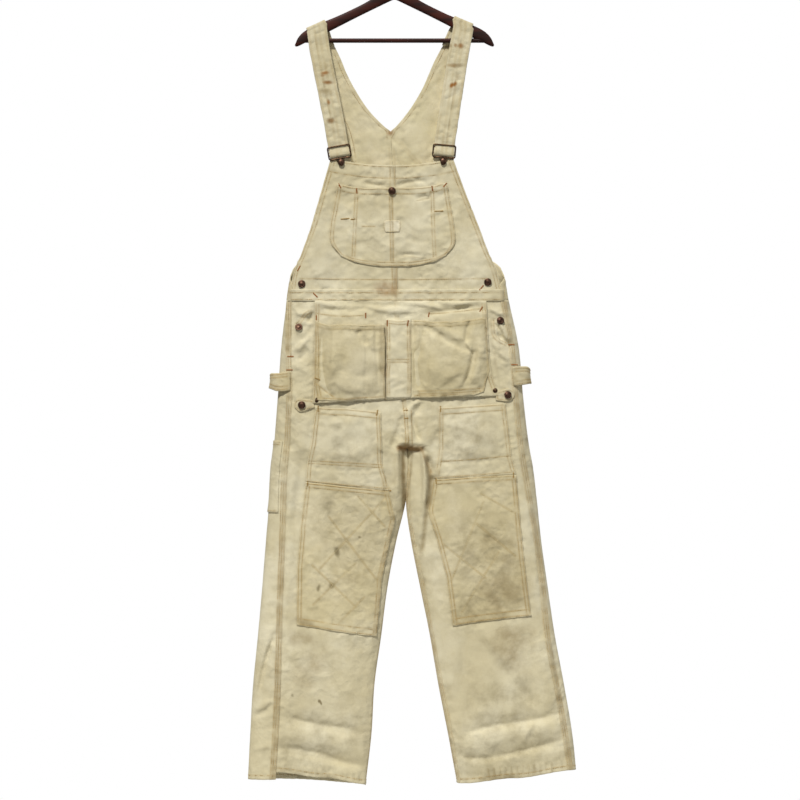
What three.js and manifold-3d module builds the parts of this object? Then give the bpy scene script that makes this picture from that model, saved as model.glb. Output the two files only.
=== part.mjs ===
// Carpenter's bib overalls in cream cotton duck, with a nail apron, hanging on a wooden hanger.
// Millimetres, +Z up, +X to the right as seen from the front, +Y to the garment's back.
// The origin is inside the top of the hanger's hook, where it rests on a rail.
import * as THREE from "three";
import { mergeVertices } from "three/addons/utils/BufferGeometryUtils.js";
import Module from "manifold-3d";

const wasm = await Module();
wasm.setup();

// Driving sizes
const CLOTH = 1.5; // one layer of duck
const FOLDED_CLOTH = 2.6; // two layers, turned and stitched flat
const SEAM_GAP = 0.4; // between two panels at a seam
const LAY_GAP = 0.3; // between a piece and what it lies on
const WAIST_Z = -741;
const CROTCH_Z = -1050;
const FORK_Z = -1022; // where the front rise starts to curve under
const BACK_FORK_Z = -975;
const YOKE_TOP_Z = -205; // where each half of the back narrows into its strap
const SIDE_CORNER_Z = -690; // above this the back's sides are free, below they wrap to the front
const STRAP_WIDTH = 41;
const SIDE_ROLL = 60; // how far in from a side fold the cloth takes to lie flat
const HANGER_THICKNESS = 12;
const BAR_Z = -196;
const BAR_RADIUS = 4.6;
const HOOK_INNER_RADIUS = 20;
const HOOK_WIRE_RADIUS = 1.9;
const NECK_TOP_Z = -73;

// A table with named columns: a list of objects, one for each row.
function table(columns, rows) {
  const names = columns.split(" ");
  return rows.map((row) => Object.fromEntries(names.map((name, i) => [name, row[i]])));
}

// The hanging body. left and right are the side folds, seamLeft and seamRight the outseams on the
// front, centreLeft and centreRight the centre line and then each leg's inner fold, inseamRight how
// far the right inseam rolls to the front, front and back the half depths.
const BODY = table("z left seamLeft centreLeft centreRight inseamRight seamRight right front back", [
  [-200, -235, -235, -8, -8, 0, 210, 210, 11, 8.4],
  [-386, -205, -205, -8, -8, 0, 195, 195, 12.5, 10],
  [-445, -196, -196, -5, -5, 0, 187, 187, 13, 11],
  [-540, -205, -205, -3, -3, 0, 203, 203, 14.5, 13],
  [-640, -215, -215, -1, -1, 0, 220, 220, 17, 16],
  [-690, -219, -217, 0, 0, 0, 224, 231, 18, 18],
  [-741, -226, -221, 1, 1, 0, 228, 240, 19, 19],
  [-841, -238, -222, 9, 9, 0, 245, 261, 24, 25],
  [-942, -245, -220, 17, 17, 0, 253, 270, 27, 29],
  [-1043, -253, -224, 26, 26, 0, 263, 282, 28, 31],
  [-1093, -259, -229, 29, 30, 8, 271, 291, 27, 30],
  [-1161, -263, -232, 23, 25, 12, 283, 299, 26, 29],
  [-1245, -270, -234, 3, 35, 9, 297, 308, 25, 27],
  [-1345, -278, -238, -16, 54, 12, 310, 322, 25, 26],
  [-1446, -287, -241, -29, 75, 9, 320, 337, 24, 25],
  [-1547, -297, -244, -43, 92, 10, 339, 356, 22, 23],
  [-1648, -303, -249, -49, 112, 9, 357, 373, 20, 21],
  [-1745, -308, -255, -60, 131, 5, 371, 383, 19, 20],
]);

// The bib's side edges.
const BIB = table("z left right", [
  [-445, -133, 122],
  [-489, -146, 138],
  [-539, -160, 157],
  [-590, -175, 177],
  [-640, -193, 196],
  [-669, -206, 209],
  [-690, -213, 216],
  [-741, -221, 228],
]);

// The back's armhole edges, and the V of the neck, which meets the centre at z -386.
const YOKE = table("z armLeft neckLeft neckRight armRight", [
  [-205, -171, -127, 102, 143],
  [-237, -161, -112, 85, 134],
  [-264, -152, -101, 73, 127],
  [-300, -140, -82, 57, 121],
  [-342, -125, -54, 31, 115],
  [-375, -108, -22, 4, 107],
  [-386, -104, -8, -8, 104],
  [-413, -97, -6, -6, 98],
  [-455, -92, -5, -5, 92],
  [-500, -97, -4, -4, 97],
  [-552, -113, -3, -3, 115],
  [-615, -148, -1, -1, 152],
  [-648, -180, -1, -1, 190],
  [-668, -208, 0, 0, 219],
  [-690, -219, 0, 0, 231],
]);

// The largest folds: each runs from one point to another, as a ridge or, below zero, a trough.
const FRONT_FOLDS = table("x1 z1 x2 z2 width height", [
  [-188, -1060, -216, -1235, 15, -5],
  [-236, -1618, -60, -1650, 15, -5],
  [-240, -1682, -66, -1718, 13, -4.5],
  [-236, -1650, -70, -1684, 16, 2.5],
  [146, -1645, 345, -1606, 15, -5],
  [142, -1704, 358, -1664, 13, -4.5],
  [150, -1672, 350, -1634, 16, 2.5],
  [126, -1505, 156, -1630, 15, -3.5],
  [18, -1085, -4, -1250, 16, 3],
  [62, -1080, 58, -1300, 18, 3.5],
  [-120, -560, -150, -700, 22, 2],
  [120, -560, 165, -700, 22, 2],
]);
const BACK_FOLDS = table("x1 z1 x2 z2 width height", [
  [-120, -800, -60, -1010, 24, -4],
  [140, -800, 90, -1010, 24, -4],
  [-40, -1070, -190, -1180, 20, -4],
  [90, -1070, 240, -1180, 20, -4],
  [-250, -1300, -60, -1350, 24, 3],
  [100, -1330, 290, -1300, 24, 3],
  [-270, -1640, -80, -1625, 15, -4.5],
  [150, -1640, 345, -1630, 15, -4.5],
  [-275, -1700, -90, -1690, 13, -4],
  [150, -1700, 350, -1690, 13, -4],
  [-90, -480, -150, -690, 24, 2.5],
  [85, -480, 160, -690, 24, 2.5],
]);

// Where the rows and columns of the panels lie: rows are heights, columns are shares of the width.
const LEG_ROWS = [
  -741, -800, -865, -930, -985, -1015, -1032, -1042, -1050, -1062, -1085, -1120, -1165, -1225, -1290,
  -1355, -1420, -1485, -1545, -1590, -1616, -1634, -1651, -1669, -1687, -1705, -1724, -1745,
];
const YOKE_ROWS = [
  -205, -237, -270, -305, -340, -365, -386, -413, -455, -500, -552, -600, -635, -655, -672, -690,
  -715, -741,
];
const BIB_ROWS = [-445, -470, -495, -520, -550, -580, -610, -640, -665, -690, -719, -741];
const FRONT_COLUMNS = [0, 0.08, 0.18, 0.3, 0.42, 0.54, 0.66, 0.77, 0.86, 0.92, 0.965, 1];
const BACK_COLUMNS = [0, 0.05, 0.1, 0.15, 0.2, 0.27, 0.37, 0.49, 0.61, 0.72, 0.82, 0.9, 0.945, 0.975, 1];
const YOKE_COLUMNS = [0, 0.08, 0.16, 0.28, 0.44, 0.62, 0.81, 1];
const BIB_COLUMNS = [0, 0.08, 0.18, 0.34, 0.5, 0.66, 0.82, 1];

const duck = new THREE.MeshStandardMaterial({ color: 0xd8ceaa, roughness: 0.95, metalness: 0 });
const soiledDuck = new THREE.MeshStandardMaterial({ color: 0xc9bd94, roughness: 0.95, metalness: 0 });
const brownedBrass = new THREE.MeshStandardMaterial({ color: 0x5a4038, roughness: 0.5, metalness: 0.8 });
const wireSteel = new THREE.MeshStandardMaterial({ color: 0x5b4a3c, roughness: 0.45, metalness: 0.9 });
const darkWood = new THREE.MeshStandardMaterial({ color: 0x3a2019, roughness: 0.4, metalness: 0 });
const hookSteel = new THREE.MeshStandardMaterial({ color: 0xb9babb, roughness: 0.3, metalness: 1 });
const whiteTape = new THREE.MeshStandardMaterial({ color: 0xe4dfca, roughness: 0.85, metalness: 0 });

const overalls = new THREE.Group();
function add(name, geometry, material) {
  const mesh = new THREE.Mesh(geometry, material);
  mesh.name = name;
  overalls.add(mesh);
  return mesh;
}

// One column of a table at height z, on a smooth curve through its rows.
function column(table, key, z) {
  const last = table.length - 1;
  if (z >= table[0].z) return table[0][key];
  if (z <= table[last].z) return table[last][key];
  let i = 0;
  while (z < table[i + 1].z) i++;
  const slope = (j) => {
    const above = table[Math.max(j - 1, 0)];
    const below = table[Math.min(j + 1, last)];
    return (below[key] - above[key]) / (below.z - above.z);
  };
  const span = table[i + 1].z - table[i].z;
  const t = (z - table[i].z) / span;
  const t2 = t * t;
  const t3 = t2 * t;
  const ends = (2 * t3 - 3 * t2 + 1) * table[i][key] + (3 * t2 - 2 * t3) * table[i + 1][key];
  return ends + ((t3 - 2 * t2 + t) * slope(i) + (t3 - t2) * slope(i + 1)) * span;
}

// 0 before a, 1 after b, and smooth between.
function ease(a, b, value) {
  const t = Math.min(Math.max((value - a) / (b - a), 0), 1);
  return t * t * (3 - 2 * t);
}

// The height of a quarter round of unit size at a distance in from its foot.
function quarterRound(distance, width) {
  const t = Math.min(Math.max(distance / width, 0), 1);
  return Math.sqrt(1 - (1 - t) * (1 - t));
}

// The push of all folds at a point, each fading towards its two ends.
function foldHeight(folds, x, z) {
  let height = 0;
  for (const f of folds) {
    const length = Math.hypot(f.x2 - f.x1, f.z2 - f.z1);
    const ux = (f.x2 - f.x1) / length;
    const uz = (f.z2 - f.z1) / length;
    const along = ((x - f.x1) * ux + (z - f.z1) * uz) / length;
    const across = (x - f.x1) * uz - (z - f.z1) * ux;
    const fade = ease(-0.12, 0.2, along) * (1 - ease(0.8, 1.12, along));
    height += f.height * fade * Math.exp(-((across / f.width) ** 2));
  }
  return height;
}

// For each side, the tables' columns that hold it, and the sign of its x.
function sideColumns(side, sign) {
  const name = side[0].toUpperCase() + side.slice(1);
  return {
    fold: side,
    seam: "seam" + name,
    centre: "centre" + name,
    arm: "arm" + name,
    neck: "neck" + name,
    sign,
  };
}
const left = sideColumns("left", -1);
const right = sideColumns("right", 1);
const FACES = {
  front: { depth: "front", sign: -1, folds: FRONT_FOLDS, fork: FORK_Z },
  back: { depth: "back", sign: 1, folds: BACK_FOLDS, fork: BACK_FORK_Z },
};

// How far the rise has turned under at height z: 0 in the trunk, 1 where each leg closes on itself.
function closedAt(face, z) {
  return 1 - ease(CROTCH_Z, face.fork, z);
}
function innerX(side, z) {
  return column(BODY, side.centre, z) + (side.sign * SEAM_GAP) / 2;
}

// How far the outer skin of one face of one side lies in front of or behind the middle at x, z.
function skinY(side, face, x, z) {
  const innerRoll = 22 + 38 * (1 - ease(-1260, CROTCH_Z, z));
  const outerRound = quarterRound(Math.max(side.sign * (column(BODY, side.fold, z) - x), 0), SIDE_ROLL);
  const fromInner = Math.max(side.sign * (x - innerX(side, z)), 0);
  const innerRound = 1 - closedAt(face, z) * (1 - quarterRound(fromInner, innerRoll));
  const depth = column(BODY, face.depth, z) * outerRound * innerRound;
  return face.sign * (depth + foldHeight(face.folds, x, z) * outerRound * innerRound);
}

// The plan line of one side at height z: along the front from the centre to the side fold, then back.
const LINE_STEPS = 44;
function planLine(side, z) {
  const outer = column(BODY, side.fold, z);
  const inner = innerX(side, z);
  const points = [];
  for (const [face, from, to] of [
    [FACES.front, inner, outer],
    [FACES.back, outer, inner],
  ]) {
    for (let i = points.length ? 1 : 0; i <= LINE_STEPS; i++) {
      const x = from + ((to - from) * (1 - Math.cos((Math.PI * i) / LINE_STEPS))) / 2;
      points.push({ x, y: skinY(side, face, x, z) });
    }
  }
  const lengths = [0];
  for (let i = 1; i < points.length; i++) {
    const { x, y } = points[i - 1];
    lengths.push(lengths[i - 1] + Math.hypot(points[i].x - x, points[i].y - y));
  }
  return { points, lengths, total: lengths[lengths.length - 1] };
}

// The point at a length along a plan line. Past its ends the line runs straight on.
function pointAt(line, length) {
  let i = 1;
  while (i < line.lengths.length - 1 && line.lengths[i] < length) i++;
  const from = line.points[i - 1];
  const to = line.points[i];
  const t = (length - line.lengths[i - 1]) / Math.max(line.lengths[i] - line.lengths[i - 1], 1e-9);
  return { x: from.x + (to.x - from.x) * t, y: from.y + (to.y - from.y) * t };
}

// The length along a plan line at which its front or its back passes x.
function lengthAt(line, side, face, x) {
  const middle = LINE_STEPS;
  const [start, end] = face.sign < 0 ? [0, middle] : [middle, 2 * middle];
  let i = start + 1;
  while (i < end && face.sign * side.sign * (line.points[i].x - x) > 0) i++;
  const from = line.points[i - 1].x;
  const to = line.points[i].x;
  const t = Math.min(Math.max((x - from) / (to - from), 0), 1);
  return line.lengths[i - 1] + (line.lengths[i] - line.lengths[i - 1]) * t;
}

// The stretch of a side's plan line that each panel takes, from its outer to its inner edge.
function inseamLength(side, z) {
  if (side.sign < 0) return 0;
  return column(BODY, "inseamRight", z) * (1 - ease(CROTCH_Z - 60, CROTCH_Z, z));
}
const STRETCHES = {
  frontLeg(side, z, line) {
    return [lengthAt(line, side, FACES.front, column(BODY, side.seam, z)), inseamLength(side, z)];
  },
  backLeg(side, z, line) {
    const seam = lengthAt(line, side, FACES.front, column(BODY, side.seam, z));
    return [seam, line.total + inseamLength(side, z)];
  },
  yoke(side, z, line) {
    if (z > SIDE_CORNER_Z) {
      const arm = lengthAt(line, side, FACES.back, column(YOKE, side.arm, z));
      return [arm, lengthAt(line, side, FACES.back, column(YOKE, side.neck, z))];
    }
    const wrap = 1 - ease(WAIST_Z, SIDE_CORNER_Z, z);
    const fold = column(BODY, side.fold, z);
    const edge = fold + (column(BODY, side.seam, z) - fold) * wrap;
    return [lengthAt(line, side, FACES.front, edge), line.total];
  },
  bib(side, z, line) {
    return [lengthAt(line, side, FACES.front, column(BIB, side.fold, z)), 0];
  },
};

// The point of a panel at height z and a share of its stretch, clear of the seams at both ends.
function panelPoint(side, stretch, z, share) {
  const line = planLine(side, z);
  const [from, to] = stretch(side, z, line);
  const direction = Math.sign(to - from);
  const start = from + (direction * SEAM_GAP) / 2;
  const end = to - (direction * SEAM_GAP * closedAt(FACES.front, z)) / 2;
  let length = start + share * (end - start);
  if (length > line.total && z < CROTCH_Z) length -= line.total;
  const p = pointAt(line, length);
  return new THREE.Vector3(p.x, p.y, z);
}

// How far the hem lies above or below its mean height, at a share of the panel's width.
const HEM_DROP = {
  frontLeft: { outer: 17, middle: -4, inner: -4 },
  frontRight: { outer: 20, middle: 4, inner: -8 },
  backLeft: { outer: 2, middle: 0, inner: -3 },
  backRight: { outer: 20, middle: 8, inner: -8 },
};
function waistGap(z) {
  return Math.abs(z - WAIST_Z) < 2 ? SEAM_GAP / 2 : 0;
}
function hemRise(drop, share, z) {
  const low = share < 0.5;
  const from = low ? drop.outer : drop.middle;
  const to = low ? drop.middle : drop.inner;
  const rise = from + (to - from) * ease(0, 1, low ? share * 2 : share * 2 - 1);
  return rise * (1 - ease(-1745, -1560, z));
}

// A grid of points and outward normals. surface(z, share) gives a point. outward is 1 where the
// columns run to the left as seen from outside, and -1 where they run to the right.
function grid(rows, columns, surface, outward) {
  const points = [];
  const normals = [];
  const step = 0.002;
  for (const z of rows) {
    const pointRow = [];
    const normalRow = [];
    for (const share of columns) {
      const along = new THREE.Vector3().subVectors(surface(z, share + step), surface(z, share - step));
      const down = new THREE.Vector3().subVectors(surface(z - 1, share), surface(z + 1, share));
      pointRow.push(surface(z, share));
      normalRow.push(along.cross(down).normalize().multiplyScalar(outward));
    }
    points.push(pointRow);
    normals.push(normalRow);
  }
  return { points, normals, outward };
}

// A closed wall between two liftings of a grid along its normals. lift is a number or lift(x, z).
function wall(sheet, liftInner, liftOuter) {
  const liftOf = (lift, p) => (typeof lift === "function" ? lift(p.x, p.z) : lift);
  const rows = sheet.points.length;
  const columns = sheet.points[0].length;
  const positions = [];
  for (const lift of [liftOuter, liftInner]) {
    sheet.points.forEach((row, i) =>
      row.forEach((p, j) => {
        const q = sheet.normals[i][j].clone().multiplyScalar(liftOf(lift, p)).add(p);
        positions.push(q.x, q.y, q.z);
      }),
    );
  }
  const outer = (i, j) => i * columns + j;
  const inner = (i, j) => (rows + i) * columns + j;
  const index = [];
  const quad = (a, b, c, d) => {
    if (sheet.outward > 0) index.push(a, c, b, a, d, c);
    else index.push(a, b, c, a, c, d);
  };
  for (let i = 0; i < rows - 1; i++) {
    for (let j = 0; j < columns - 1; j++) {
      quad(outer(i, j), outer(i + 1, j), outer(i + 1, j + 1), outer(i, j + 1));
      quad(inner(i, j), inner(i, j + 1), inner(i + 1, j + 1), inner(i + 1, j));
    }
  }
  for (let j = 0; j < columns - 1; j++) {
    quad(outer(0, j), outer(0, j + 1), inner(0, j + 1), inner(0, j));
    quad(outer(rows - 1, j), inner(rows - 1, j), inner(rows - 1, j + 1), outer(rows - 1, j + 1));
  }
  const end = columns - 1;
  for (let i = 0; i < rows - 1; i++) {
    quad(outer(i, 0), inner(i, 0), inner(i + 1, 0), outer(i + 1, 0));
    quad(outer(i, end), outer(i + 1, end), inner(i + 1, end), inner(i, end));
  }
  const geometry = new THREE.BufferGeometry();
  geometry.setAttribute("position", new THREE.Float32BufferAttribute(positions, 3));
  geometry.setIndex(index);
  return geometry;
}

// Between three.js geometry and the solids that are joined and cut.
function toSolid(geometry) {
  const plain = geometry.clone();
  plain.deleteAttribute("normal");
  plain.deleteAttribute("uv");
  const merged = mergeVertices(plain, 1e-3);
  return new wasm.Manifold(
    new wasm.Mesh({
      numProp: 3,
      vertProperties: merged.attributes.position.array,
      triVerts: new Uint32Array(merged.index.array),
    }),
  );
}
function toGeometry(solid) {
  const mesh = solid.getMesh();
  const geometry = new THREE.BufferGeometry();
  geometry.setAttribute("position", new THREE.Float32BufferAttribute(mesh.vertProperties, 3));
  geometry.setIndex(new THREE.Uint32BufferAttribute(mesh.triVerts, 1));
  return geometry;
}

// A block with an outline given in x and z, from yFrom to yTo.
function prism(outline, yFrom, yTo) {
  const drawn = outline instanceof THREE.Shape;
  const shape = drawn ? outline : new THREE.Shape(outline.map((p) => new THREE.Vector2(...p)));
  const settings = { depth: yTo - yFrom, bevelEnabled: false, curveSegments: 8 };
  const block = new THREE.ExtrudeGeometry(shape, settings);
  return toSolid(block.rotateX(Math.PI / 2).translate(0, yTo, 0));
}

// A piece that lies on a sheet: the sheet moved out, cut to an outline in x and z.
const FRONT_SIDE = [-200, 0];
const ALL_THROUGH = [-200, 200];
function layOn(sheet, outline, liftInner, thickness, reach = FRONT_SIDE) {
  const lift = typeof liftInner === "function" ? liftInner : () => liftInner;
  const layer = toSolid(wall(sheet, lift, (x, z) => lift(x, z) + thickness));
  return toGeometry(layer.intersect(prism(outline, ...reach)));
}

// A soft swelling, 1 at its middle and 0 at its rim: an oval, or squarer with a higher power.
function swelling(x, z, oval, power = 2) {
  const across = Math.abs((x - oval.x) / oval.halfWidth) ** power;
  const down = Math.abs((z - oval.z) / oval.halfHeight) ** power;
  return Math.max(1 - across - down, 0) ** 1.2;
}

// The four trouser panels, from waist to hem.
function legPanel(side, stretch, drop) {
  return (z, share) => panelPoint(side, stretch, z + hemRise(drop, share, z) - waistGap(z), share);
}
const { frontLeg, backLeg } = STRETCHES;
const frontLeft = grid(LEG_ROWS, FRONT_COLUMNS, legPanel(left, frontLeg, HEM_DROP.frontLeft), -1);
const frontRight = grid(LEG_ROWS, FRONT_COLUMNS, legPanel(right, frontLeg, HEM_DROP.frontRight), 1);
const backLeft = grid(LEG_ROWS, BACK_COLUMNS, legPanel(left, backLeg, HEM_DROP.backLeft), 1);
const backRight = grid(LEG_ROWS, BACK_COLUMNS, legPanel(right, backLeg, HEM_DROP.backRight), -1);
add("front_left", wall(frontLeft, -CLOTH, 0), duck);
add("front_right", wall(frontRight, -CLOTH, 0), duck);
add("back_left", wall(backLeft, -CLOTH, 0), duck);
add("back_right", wall(backRight, -CLOTH, 0), duck);

// The high back in two halves, which meet at the V of the neck and run up into the straps.
function yokePanel(side) {
  return (z, share) => panelPoint(side, STRETCHES.yoke, z + waistGap(z), share);
}
const yokeLeft = grid(YOKE_ROWS, YOKE_COLUMNS, yokePanel(left), 1);
const yokeRight = grid(YOKE_ROWS, YOKE_COLUMNS, yokePanel(right), -1);
add("back_yoke_left", wall(yokeLeft, -CLOTH, 0), duck);
add("back_yoke_right", wall(yokeRight, -CLOTH, 0), duck);

// The bib in two halves, its top edge sagging between the two studs.
const BIB_TOP_SAG = 15;
function bibPanel(side) {
  return (z, share) => {
    const sag = BIB_TOP_SAG * (1 - (1 - share) ** 2) * (1 - ease(-445, -560, z));
    return panelPoint(side, STRETCHES.bib, z - sag + waistGap(z), share);
  };
}
const bibLeft = grid(BIB_ROWS, BIB_COLUMNS, bibPanel(left), -1);
const bibRight = grid(BIB_ROWS, BIB_COLUMNS, bibPanel(right), 1);
add("bib_left", wall(bibLeft, -CLOTH, 0), duck);
add("bib_right", wall(bibRight, -CLOTH, 0), duck);

// Both halves of the bib as one sheet from left to right, which the pieces that span them lie on.
const bibWhole = {
  points: bibLeft.points.map((row, i) => [...row.slice(0, -1), ...bibRight.points[i].slice().reverse()]),
  normals: bibLeft.normals.map((row, i) => [...row.slice(0, -1), ...bibRight.normals[i].slice().reverse()]),
  outward: bibLeft.outward,
};

const WAISTBAND_HEIGHT = 22;
const bandOutline = [
  [-260, WAIST_Z],
  [260, WAIST_Z],
  [260, WAIST_Z + WAISTBAND_HEIGHT],
  [-260, WAIST_Z + WAISTBAND_HEIGHT],
];
add("waistband", layOn(bibWhole, bandOutline, LAY_GAP, CLOTH), soiledDuck);

// The bib pocket, with straight sides and a round bottom.
const pocketShape = new THREE.Shape();
pocketShape.moveTo(-119, -499);
pocketShape.lineTo(-134, -586);
pocketShape.bezierCurveTo(-139, -640, -118, -654, -80, -664);
pocketShape.bezierCurveTo(-40, -675, 40, -675, 80, -662);
pocketShape.bezierCurveTo(116, -652, 129, -634, 126, -594);
pocketShape.lineTo(110, -497);
pocketShape.bezierCurveTo(60, -508, -60, -510, -119, -499);
const POCKET_BELLY = { x: -5, z: -575, halfWidth: 112, halfHeight: 92 };
const POCKET_BULGE = 6;
const pocketLift = (x, z) => LAY_GAP + POCKET_BULGE * swelling(x, z, POCKET_BELLY);
add("bib_pocket", layOn(bibWhole, pocketShape, pocketLift, CLOTH), duck);
const labelOutline = [
  [-21, -600],
  [12, -600],
  [12, -577],
  [-21, -577],
];
const labelLift = (x, z) => pocketLift(x, z) + CLOTH + LAY_GAP;
add("label_blank", layOn(bibWhole, labelOutline, labelLift, 0.8), whiteTape);

// Pieces sewn on the trouser fronts: open pockets on the thighs and doubled knees.
const THIGH_POCKET_LEFT = [
  [-164, -966],
  [-29, -976],
  [-26, -1085],
  [-11.5, -1140],
  [-184, -1121],
  [-182, -1081],
];
const THIGH_POCKET_RIGHT = [
  [92, -967],
  [231, -958],
  [244, -1068],
  [253.5, -1105.5],
  [84, -1116],
  [93, -1051],
];
const KNEE_PATCH_LEFT = [
  [-184.2, -1121.6],
  [-11.4, -1140.6],
  [1, -1198],
  [-13, -1257],
  [-27, -1325],
  [-38, -1445],
  [-204, -1420],
  [-203, -1303],
  [-195, -1211],
];
const KNEE_PATCH_RIGHT = [
  [83.7, -1116.6],
  [253.7, -1106.1],
  [261, -1189],
  [270, -1280],
  [285, -1401],
  [122, -1422],
  [108.5, -1319],
  [88, -1241],
  [70, -1182],
];
const THIGH_BELLY_LEFT = { x: -104, z: -1030, halfWidth: 72, halfHeight: 75 };
const THIGH_BELLY_RIGHT = { x: 165, z: -1022, halfWidth: 72, halfHeight: 75 };
const THIGH_BULGE = 3;
const thighLift = (belly) => (x, z) => LAY_GAP + THIGH_BULGE * swelling(x, z, belly);
add("thigh_pocket_left", layOn(frontLeft, THIGH_POCKET_LEFT, thighLift(THIGH_BELLY_LEFT), CLOTH), duck);
add("thigh_pocket_right", layOn(frontRight, THIGH_POCKET_RIGHT, thighLift(THIGH_BELLY_RIGHT), CLOTH), duck);
add("knee_patch_left", layOn(frontLeft, KNEE_PATCH_LEFT, LAY_GAP, CLOTH), soiledDuck);
add("knee_patch_right", layOn(frontRight, KNEE_PATCH_RIGHT, LAY_GAP, CLOTH), soiledDuck);

// The rule pocket on the back of the left leg, which wraps forward to the outseam.
const RULE_POCKET = [
  [-300, -1184],
  [-186, -1184],
  [-186, -1037],
  [-300, -1037],
];
add("rule_pocket", layOn(backLeft, RULE_POCKET, LAY_GAP, CLOTH, ALL_THROUGH), duck);

// The nail apron hangs from the waistband, proud of the trousers, held at its lower corners.
const APRON = table("z left right", [
  [-742, -166, 191],
  [-850, -168, 197],
  [-900, -169, 204],
  [-945, -170, 219],
]);
const APRON_ROWS = [-742, -765, -790, -815, -840, -865, -890, -915, -935, -951];
const APRON_COLUMNS = [0, 0.07, 0.14, 0.22, 0.3, 0.38, 0.46, 0.53, 0.565, 0.605, 0.68, 0.76, 0.84, 0.92, 1];
const APRON_TOP_LIFT = 2.3;
const APRON_STAND_OFF = 9;
const CORNER_LIFT = 2.6;
function frontSurface(x, z) {
  return skinY(x < column(BODY, "centreLeft", z) ? left : right, FACES.front, x, z);
}
function apronPoint(z, share) {
  const slant = 10 - 22 * share;
  const height = z - 0.6 - slant * ease(-760, -951, z) * (share < 0.55 ? 1 : 0.5) + 3 * ease(-760, -951, z);
  const leftEdge = column(APRON, "left", height);
  const x = leftEdge + share * (column(APRON, "right", height) - leftEdge);
  const hang = ease(-742, -951, z);
  const middle = 1 - (2 * share - 1) ** 4;
  const lift = APRON_TOP_LIFT + (CORNER_LIFT - APRON_TOP_LIFT) * hang + APRON_STAND_OFF * hang * middle;
  return new THREE.Vector3(x, frontSurface(x, height) - lift, height);
}
const apronSheet = grid(APRON_ROWS, APRON_COLUMNS, apronPoint, -1);
add("apron", wall(apronSheet, 0, CLOTH), duck);

// Its two nail bags bulge, and the tool slot between them lies flat.
const BAG_LEFT = [
  [-165, -783],
  [-59, -780],
  [-22, -800],
  [-19, -946],
  [-118, -951],
  [-166, -917],
];
const BAG_RIGHT = [
  [47, -776],
  [188, -768],
  [198, -888],
  [168, -937],
  [46, -943],
];
const BAG_BELLY_LEFT = { x: -92, z: -850, halfWidth: 76, halfHeight: 105 };
const BAG_BELLY_RIGHT = { x: 120, z: -843, halfWidth: 78, halfHeight: 105 };
const BAG_BULGE = 14;
const bagLift = (belly) => (x, z) => CLOTH + LAY_GAP + BAG_BULGE * swelling(x, z, belly, 3);
const TOOL_SLOT = [
  [-17, -946],
  [34, -945],
  [34, -798],
  [-17, -798],
];
add("apron_bag_left", layOn(apronSheet, BAG_LEFT, bagLift(BAG_BELLY_LEFT), CLOTH), soiledDuck);
add("apron_bag_right", layOn(apronSheet, BAG_RIGHT, bagLift(BAG_BELLY_RIGHT), CLOTH), soiledDuck);
add("apron_tool_slot", layOn(apronSheet, TOOL_SLOT, CLOTH + LAY_GAP, CLOTH), duck);

// Tabs that button the apron's corners down to the trousers.
const TAB_LEFT = [
  [-207, -966],
  [-196, -975],
  [-168, -966],
  [-168, -952],
  [-196, -949],
  [-205, -953],
];
const TAB_RIGHT = [
  [212, -951],
  [212, -935],
  [236, -928],
  [247, -934],
  [249, -945],
  [238, -953],
];
add("apron_tab_left", layOn(frontLeft, TAB_LEFT, LAY_GAP, CLOTH), duck);
add("apron_tab_right", layOn(frontRight, TAB_RIGHT, LAY_GAP, CLOTH), duck);

// A turned piece such as a button, standing on the front at x, z. Its profile runs outwards.
function turned(name, profile, x, z, baseY, lean, material) {
  const lathe = new THREE.LatheGeometry(
    profile.map((p) => new THREE.Vector2(...p)),
    12,
  );
  const mesh = add(name, lathe, material);
  mesh.rotation.set(Math.PI, 0, lean, "ZXY");
  mesh.position.set(x, baseY, z);
}
const TACK_BUTTON = [
  [0, 0],
  [4, 0],
  [4, 1.2],
  [7.9, 1.4],
  [7.9, 2.6],
  [5, 3.8],
  [0, 4.1],
];
const BIB_STUD = [
  [0, 0],
  [4.5, 0],
  [4.5, 0.6],
  [2.5, 0.8],
  [2.5, 4.3],
  [6.3, 4.5],
  [6.3, 6.1],
  [4, 7.2],
  [0, 7.5],
];
const RIVET = [
  [0, 0],
  [5, 0],
  [5, 0.8],
  [2.6, 1.4],
  [0, 1.5],
];

// The slope of the front, as an angle about z, so that a button can lie flat on it.
function leanAt(x, z) {
  return Math.atan2(frontSurface(x + 4, z) - frontSurface(x - 4, z), 8);
}
const BUTTON_GAP = 0.6; // from the middle of a button's flat base to the rounded cloth under it
function buttonOn(name, profile, x, z, lift, material) {
  const lean = leanAt(x, z);
  const out = lift + BUTTON_GAP;
  const baseX = x + Math.sin(lean) * out;
  const baseY = frontSurface(x, z) - Math.cos(lean) * out;
  turned(name, profile, baseX, z, baseY, lean, material);
}
buttonOn("bib_pocket_button", TACK_BUTTON, -5, -514, pocketLift(-5, -514) + CLOTH, brownedBrass);
buttonOn("side_button_upper_left", TACK_BUTTON, -194, -708, 0, brownedBrass);
buttonOn("side_button_upper_right", TACK_BUTTON, 195, -704, 0, brownedBrass);
buttonOn("side_button_lower_left", TACK_BUTTON, -200, -799, 0, brownedBrass);
buttonOn("side_button_lower_right", TACK_BUTTON, 221, -785, 0, brownedBrass);
buttonOn("apron_button_left", TACK_BUTTON, -193, -961, CLOTH - 0.3, brownedBrass);
buttonOn("apron_button_right", TACK_BUTTON, 236, -940, LAY_GAP + CLOTH, brownedBrass);
buttonOn("apron_rivet_left", RIVET, -162, -951, CORNER_LIFT + 3.4, wireSteel);
buttonOn("apron_rivet_right", RIVET, 210, -931, CORNER_LIFT + 2.6, wireSteel);

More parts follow.
